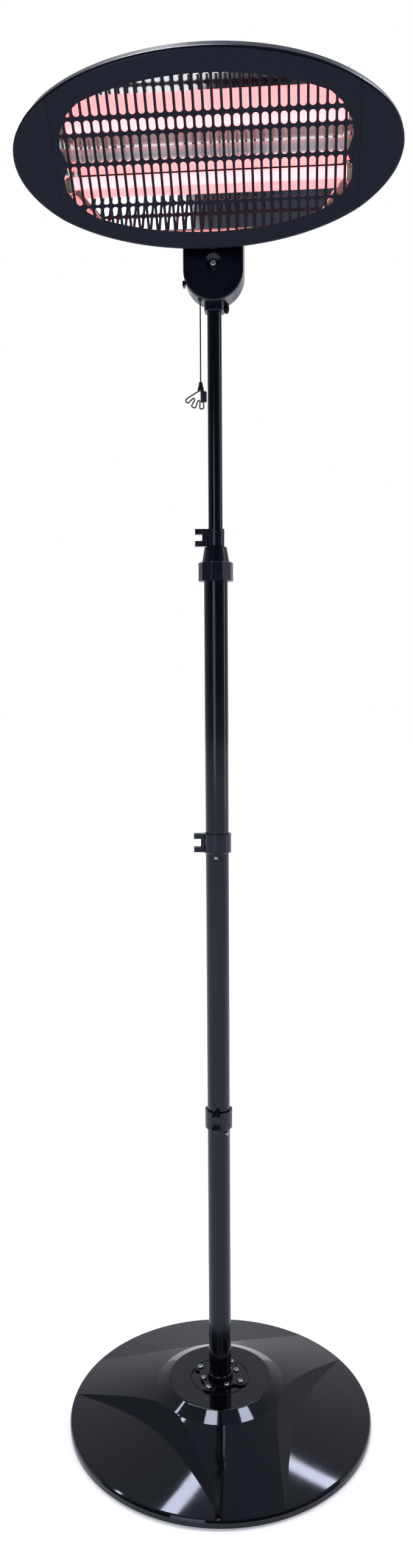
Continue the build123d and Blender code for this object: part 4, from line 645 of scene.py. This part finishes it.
# ------------------------------------------------------------------ pull cord
@dataclass
class PullCord:
    """The switch's pull cord and the spare loops below its bell grip."""

    book: FinishBook
    nodes: dict[str, bpy.types.Object]
    radius: float = 0.9 * MM
    plane_y: float = -11.0 * MM
    apex: tuple[float, float] = (-17.6 * MM, 1446.7 * MM)
    start: float = 2.0 * MM
    near: float = 14.0 * MM
    far: float = 24.5 * MM
    spans: int = 4
    round_steps: int = 3
    curve_steps: int = 8
    runs: tuple[float, ...] = (-60.0, -45.0, -32.0, -17.0, -4.0, 11.0)

    def fan(self, angle: float, distance: float) -> tuple[float, float, float]:
        """Give a point of the loops' upright plane.

        Args:
            angle: Degrees from straight down.
            distance: Metres from the loops' start.

        Returns:
            The point, in metres.
        """
        turn = math.radians(angle)
        return (self.apex[0] + distance * math.sin(turn), self.plane_y,
                self.apex[1] - distance * math.cos(turn))

    def curve(self, name: str, points: list[tuple[float, float, float]]) -> bpy.types.Object:
        """Make one smooth round cord through control points.

        Args:
            name: The piece's name.
            points: The route's control points in metres.

        Returns:
            The curve object, with flat caps.
        """
        data = bpy.data.curves.new(name, "CURVE")
        data.dimensions = "3D"
        data.bevel_depth = self.radius
        data.bevel_resolution = self.round_steps
        data.use_fill_caps = True
        spline = data.splines.new("NURBS")
        spline.points.add(len(points) - 1)
        for point, place in zip(spline.points, points):
            point.co = (*place, 1.0)
        spline.order_u = 3
        spline.use_endpoint_u = True
        spline.resolution_u = self.curve_steps
        piece = bpy.data.objects.new(name, data)
        bpy.context.scene.collection.objects.link(piece)
        self.book.dress(piece, CORD_BRAID)
        return piece

    def hanging_cord(self) -> bpy.types.Object:
        """Hang the straight run from the guide to the bell.

        Returns:
            The cord, standing for its CAD node.
        """
        low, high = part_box("pull_cord")
        x, y = (low.x + high.x) / 2, (low.y + high.y) / 2
        points = [(x, y, high.z + (low.z - high.z) * k / self.spans)
                  for k in range(self.spans + 1)]
        cord = self.curve("pull_cord_line", points)
        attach(cord, "pull")
        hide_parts("pull_cord")
        return cord

    def spare_loops(self) -> bpy.types.Object:
        """Lay the spare length in the fan of loops below the bell.

        Returns:
            The loops, standing for their CAD node.
        """
        points = []
        last = len(self.runs) - 1
        for k, angle in enumerate(self.runs):
            outward = k % 2 == 0
            ends = [self.start if k in (0, last) else self.near, self.far]
            if not outward:
                ends.reverse()
            points.append(self.fan(angle, ends[0]))
            points.append(self.fan(angle, (ends[0] + ends[1]) / 2))
            points.append(self.fan(angle, ends[1]))
        loops = self.curve("spare_cord_loops", points)
        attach(loops, "pull")
        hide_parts("cord_loops")
        return loops

    def build(self) -> None:
        """Make the cord and its spare loops."""
        LOG.info("pull cord %s", self.hanging_cord().name)
        LOG.info("spare loops %s", self.spare_loops().name)


# ------------------------------------------------------------------ studio
@dataclass(frozen=True)
class Lamp:
    """One softbox of the studio."""

    name: str
    place: tuple[float, float, float]
    aim: tuple[float, float, float]
    width: float
    height: float
    watts: float
    colour: str


@dataclass
class Studio:
    """Floor, world, lamps and the camera at the photograph's place."""

    camera_place: tuple[float, float, float] = (0.1159, -1.4890, 1.0837)
    yaw: float = math.radians(5.0)
    pitch: float = 0.1054
    roll: float = -0.0065
    lens: float = 25.155
    sensor: float = 36.0
    sight: float = 60.0
    diffuse_level: float = 0.42
    front_level: float = 0.08
    back_level: float = 0.75
    room_reach: tuple[float, float] = (-0.75, 0.9)
    front_hue: str = "#D6E2FF"
    floor_colour: str = "#F2F2F2"
    floor_roughness: float = 0.9
    floor_radius: float = 14.0
    floor_sides: int = 96
    floor_reach: tuple[float, float] = (0.5, 3.5)
    floor_lift: float = 0.3
    floor_far_lift: float = 0.75
    lamps: tuple[Lamp, ...] = (
        Lamp("overhead_softbox", (-0.35, -0.1, 3.3), (0.0, 0.0, 0.0), 1.1, 0.5, 32.0, "#FFFFFF"),
        Lamp("overhead_right", (1.1, 0.3, 3.1), (0.0, 0.0, 0.0), 0.7, 0.5, 22.0, "#F4F8FF"),
        Lamp("back_strip", (-0.6, 1.36, 2.7), (0.0, 0.0, 0.0), 3.6, 0.1, 26.0, "#F4F6FF"),
        Lamp("left_softbox", (-0.95, -3.2, 1.35), (0.0, 0.0, 1.5), 1.3, 1.5, 18.0, "#E8F0FF"),
        Lamp("right_strip", (2.5, 0.1, 1.6), (0.0, 0.0, 1.2), 0.25, 2.2, 12.0, "#FFF4EA"),
    )

    def add_camera(self) -> None:
        """Place the camera from its position, yaw, pitch and roll."""
        forward = Vector((-math.sin(self.yaw) * math.cos(self.pitch),
                          math.cos(self.yaw) * math.cos(self.pitch), -math.sin(self.pitch)))
        right = Vector((math.cos(self.yaw), math.sin(self.yaw), 0.0))
        up = right.cross(forward)
        cosine, sine = math.cos(self.roll), math.sin(self.roll)
        tilted_right = cosine * right + sine * up
        tilted_up = cosine * up - sine * right
        data = bpy.data.cameras.new("camera")
        data.lens = self.lens
        data.sensor_width = self.sensor
        data.clip_end = self.sight
        camera = bpy.data.objects.new("camera", data)
        turn = Matrix((tilted_right, tilted_up, -forward)).transposed().to_4x4()
        camera.matrix_world = Matrix.Translation(self.camera_place) @ turn
        bpy.context.scene.collection.objects.link(camera)
        bpy.context.scene.camera = camera

    def add_lamps(self) -> None:
        """Hang the softboxes."""
        for lamp in self.lamps:
            data = bpy.data.lights.new(lamp.name, "AREA")
            data.shape = "RECTANGLE"
            data.size = lamp.width
            data.size_y = lamp.height
            data.energy = lamp.watts
            data.color = linear(lamp.colour)[:3]
            lantern = bpy.data.objects.new(lamp.name, data)
            lantern.location = lamp.place
            aim = Vector(lamp.aim) - Vector(lamp.place)
            lantern.rotation_euler = aim.to_track_quat("-Z", "Y").to_euler()
            bpy.context.scene.collection.objects.link(lantern)

    def add_world(self) -> None:
        """Light from all round: white to the camera and glass, darker mirrored in front.

        What gloss mirrors runs from a dim bluish room before the object to a pale one
        behind it.
        """
        world = bpy.data.worlds.new("studio_world")
        bpy.context.scene.world = world
        world.use_nodes = True
        tree = world.node_tree
        tree.nodes.clear()
        path = add_node(tree, "LightPath")
        facing = add_node(tree, "SeparateXYZ",
                          {0: add_node(tree, "TexCoord").outputs["Generated"]}).outputs["Y"]
        room = add_node(tree, "MapRange", {"Value": facing},
                        {"From Min": self.room_reach[0], "From Max": self.room_reach[1],
                         "To Min": self.front_level, "To Max": self.back_level})
        mirrored = add_node(tree, "Mix", {0: path.outputs["Is Glossy Ray"], 3: room.outputs[0]},
                            {2: self.diffuse_level}, data_type="FLOAT")
        seen = add_node(tree, "Math", {0: path.outputs["Is Camera Ray"],
                                       1: path.outputs["Is Transmission Ray"]},
                        operation="MAXIMUM")
        level = add_node(tree, "Math", {0: seen.outputs[0], 1: mirrored.outputs[0]},
                         operation="MAXIMUM")
        white = add_node(tree, "Math", {0: seen.outputs[0], 1: room.outputs[0]},
                         operation="MAXIMUM")
        hue = add_node(tree, "Mix", {0: white.outputs[0]},
                       {6: linear(self.front_hue), 7: WHITE}, data_type="RGBA")
        sky = add_node(tree, "Background", {"Strength": level.outputs[0], "Color": hue.outputs[2]})
        add_node(tree, "OutputWorld", {"Surface": sky.outputs[0]})

    def add_floor(self) -> None:
        """Lay the plain pale floor, whose shadow shows but whose far side stays white."""
        mesh = bmesh.new()
        bmesh.ops.create_circle(mesh, cap_ends=True, segments=self.floor_sides,
                                radius=self.floor_radius)
        floor = as_piece("studio_floor", mesh, smooth=False)
        material, tree, shader = new_material("plain_pale_floor")
        shader.inputs["Base Color"].default_value = linear(self.floor_colour)
        shader.inputs["Roughness"].default_value = self.floor_roughness
        path = add_node(tree, "LightPath")
        mirrored = add_node(tree, "Math", {0: path.outputs["Is Glossy Ray"],
                                           1: path.outputs["Is Transmission Ray"]},
                            operation="MAXIMUM")
        seen = add_node(tree, "Math", {0: path.outputs["Is Camera Ray"],
                                       1: mirrored.outputs[0]}, operation="MAXIMUM")
        place = add_node(tree, "VectorMath",
                         {0: add_node(tree, "TexCoord").outputs["Object"]},
                         operation="LENGTH")
        far = add_node(tree, "MapRange", {"Value": place.outputs["Value"]},
                       {"From Min": self.floor_reach[0], "From Max": self.floor_reach[1],
                        "To Min": self.floor_lift, "To Max": self.floor_far_lift})
        lift = add_node(tree, "Math", {0: seen.outputs[0], 1: far.outputs[0]},
                        operation="MULTIPLY")
        shader.inputs["Emission Color"].default_value = WHITE
        tree.links.new(lift.outputs[0], shader.inputs["Emission Strength"])
        floor.data.materials.append(material)

    def build(self) -> None:
        """Set up the whole studio."""
        bpy.context.scene.view_settings.view_transform = "Standard"
        self.add_camera()
        self.add_world()
        self.add_lamps()
        self.add_floor()


def main() -> None:
    """Load the frame, dress it, and report each piece."""
    logging.basicConfig(level=logging.INFO, format="%(name)s %(message)s")
    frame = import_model()
    nodes = frame["nodes"]
    book = FinishBook()
    book.dress_nodes(nodes)
    Reflector(book).build()
    HeatingElements(book).build()
    PullCord(book, nodes).build()
    Studio().build()


if __name__ == "__main__":
    main()
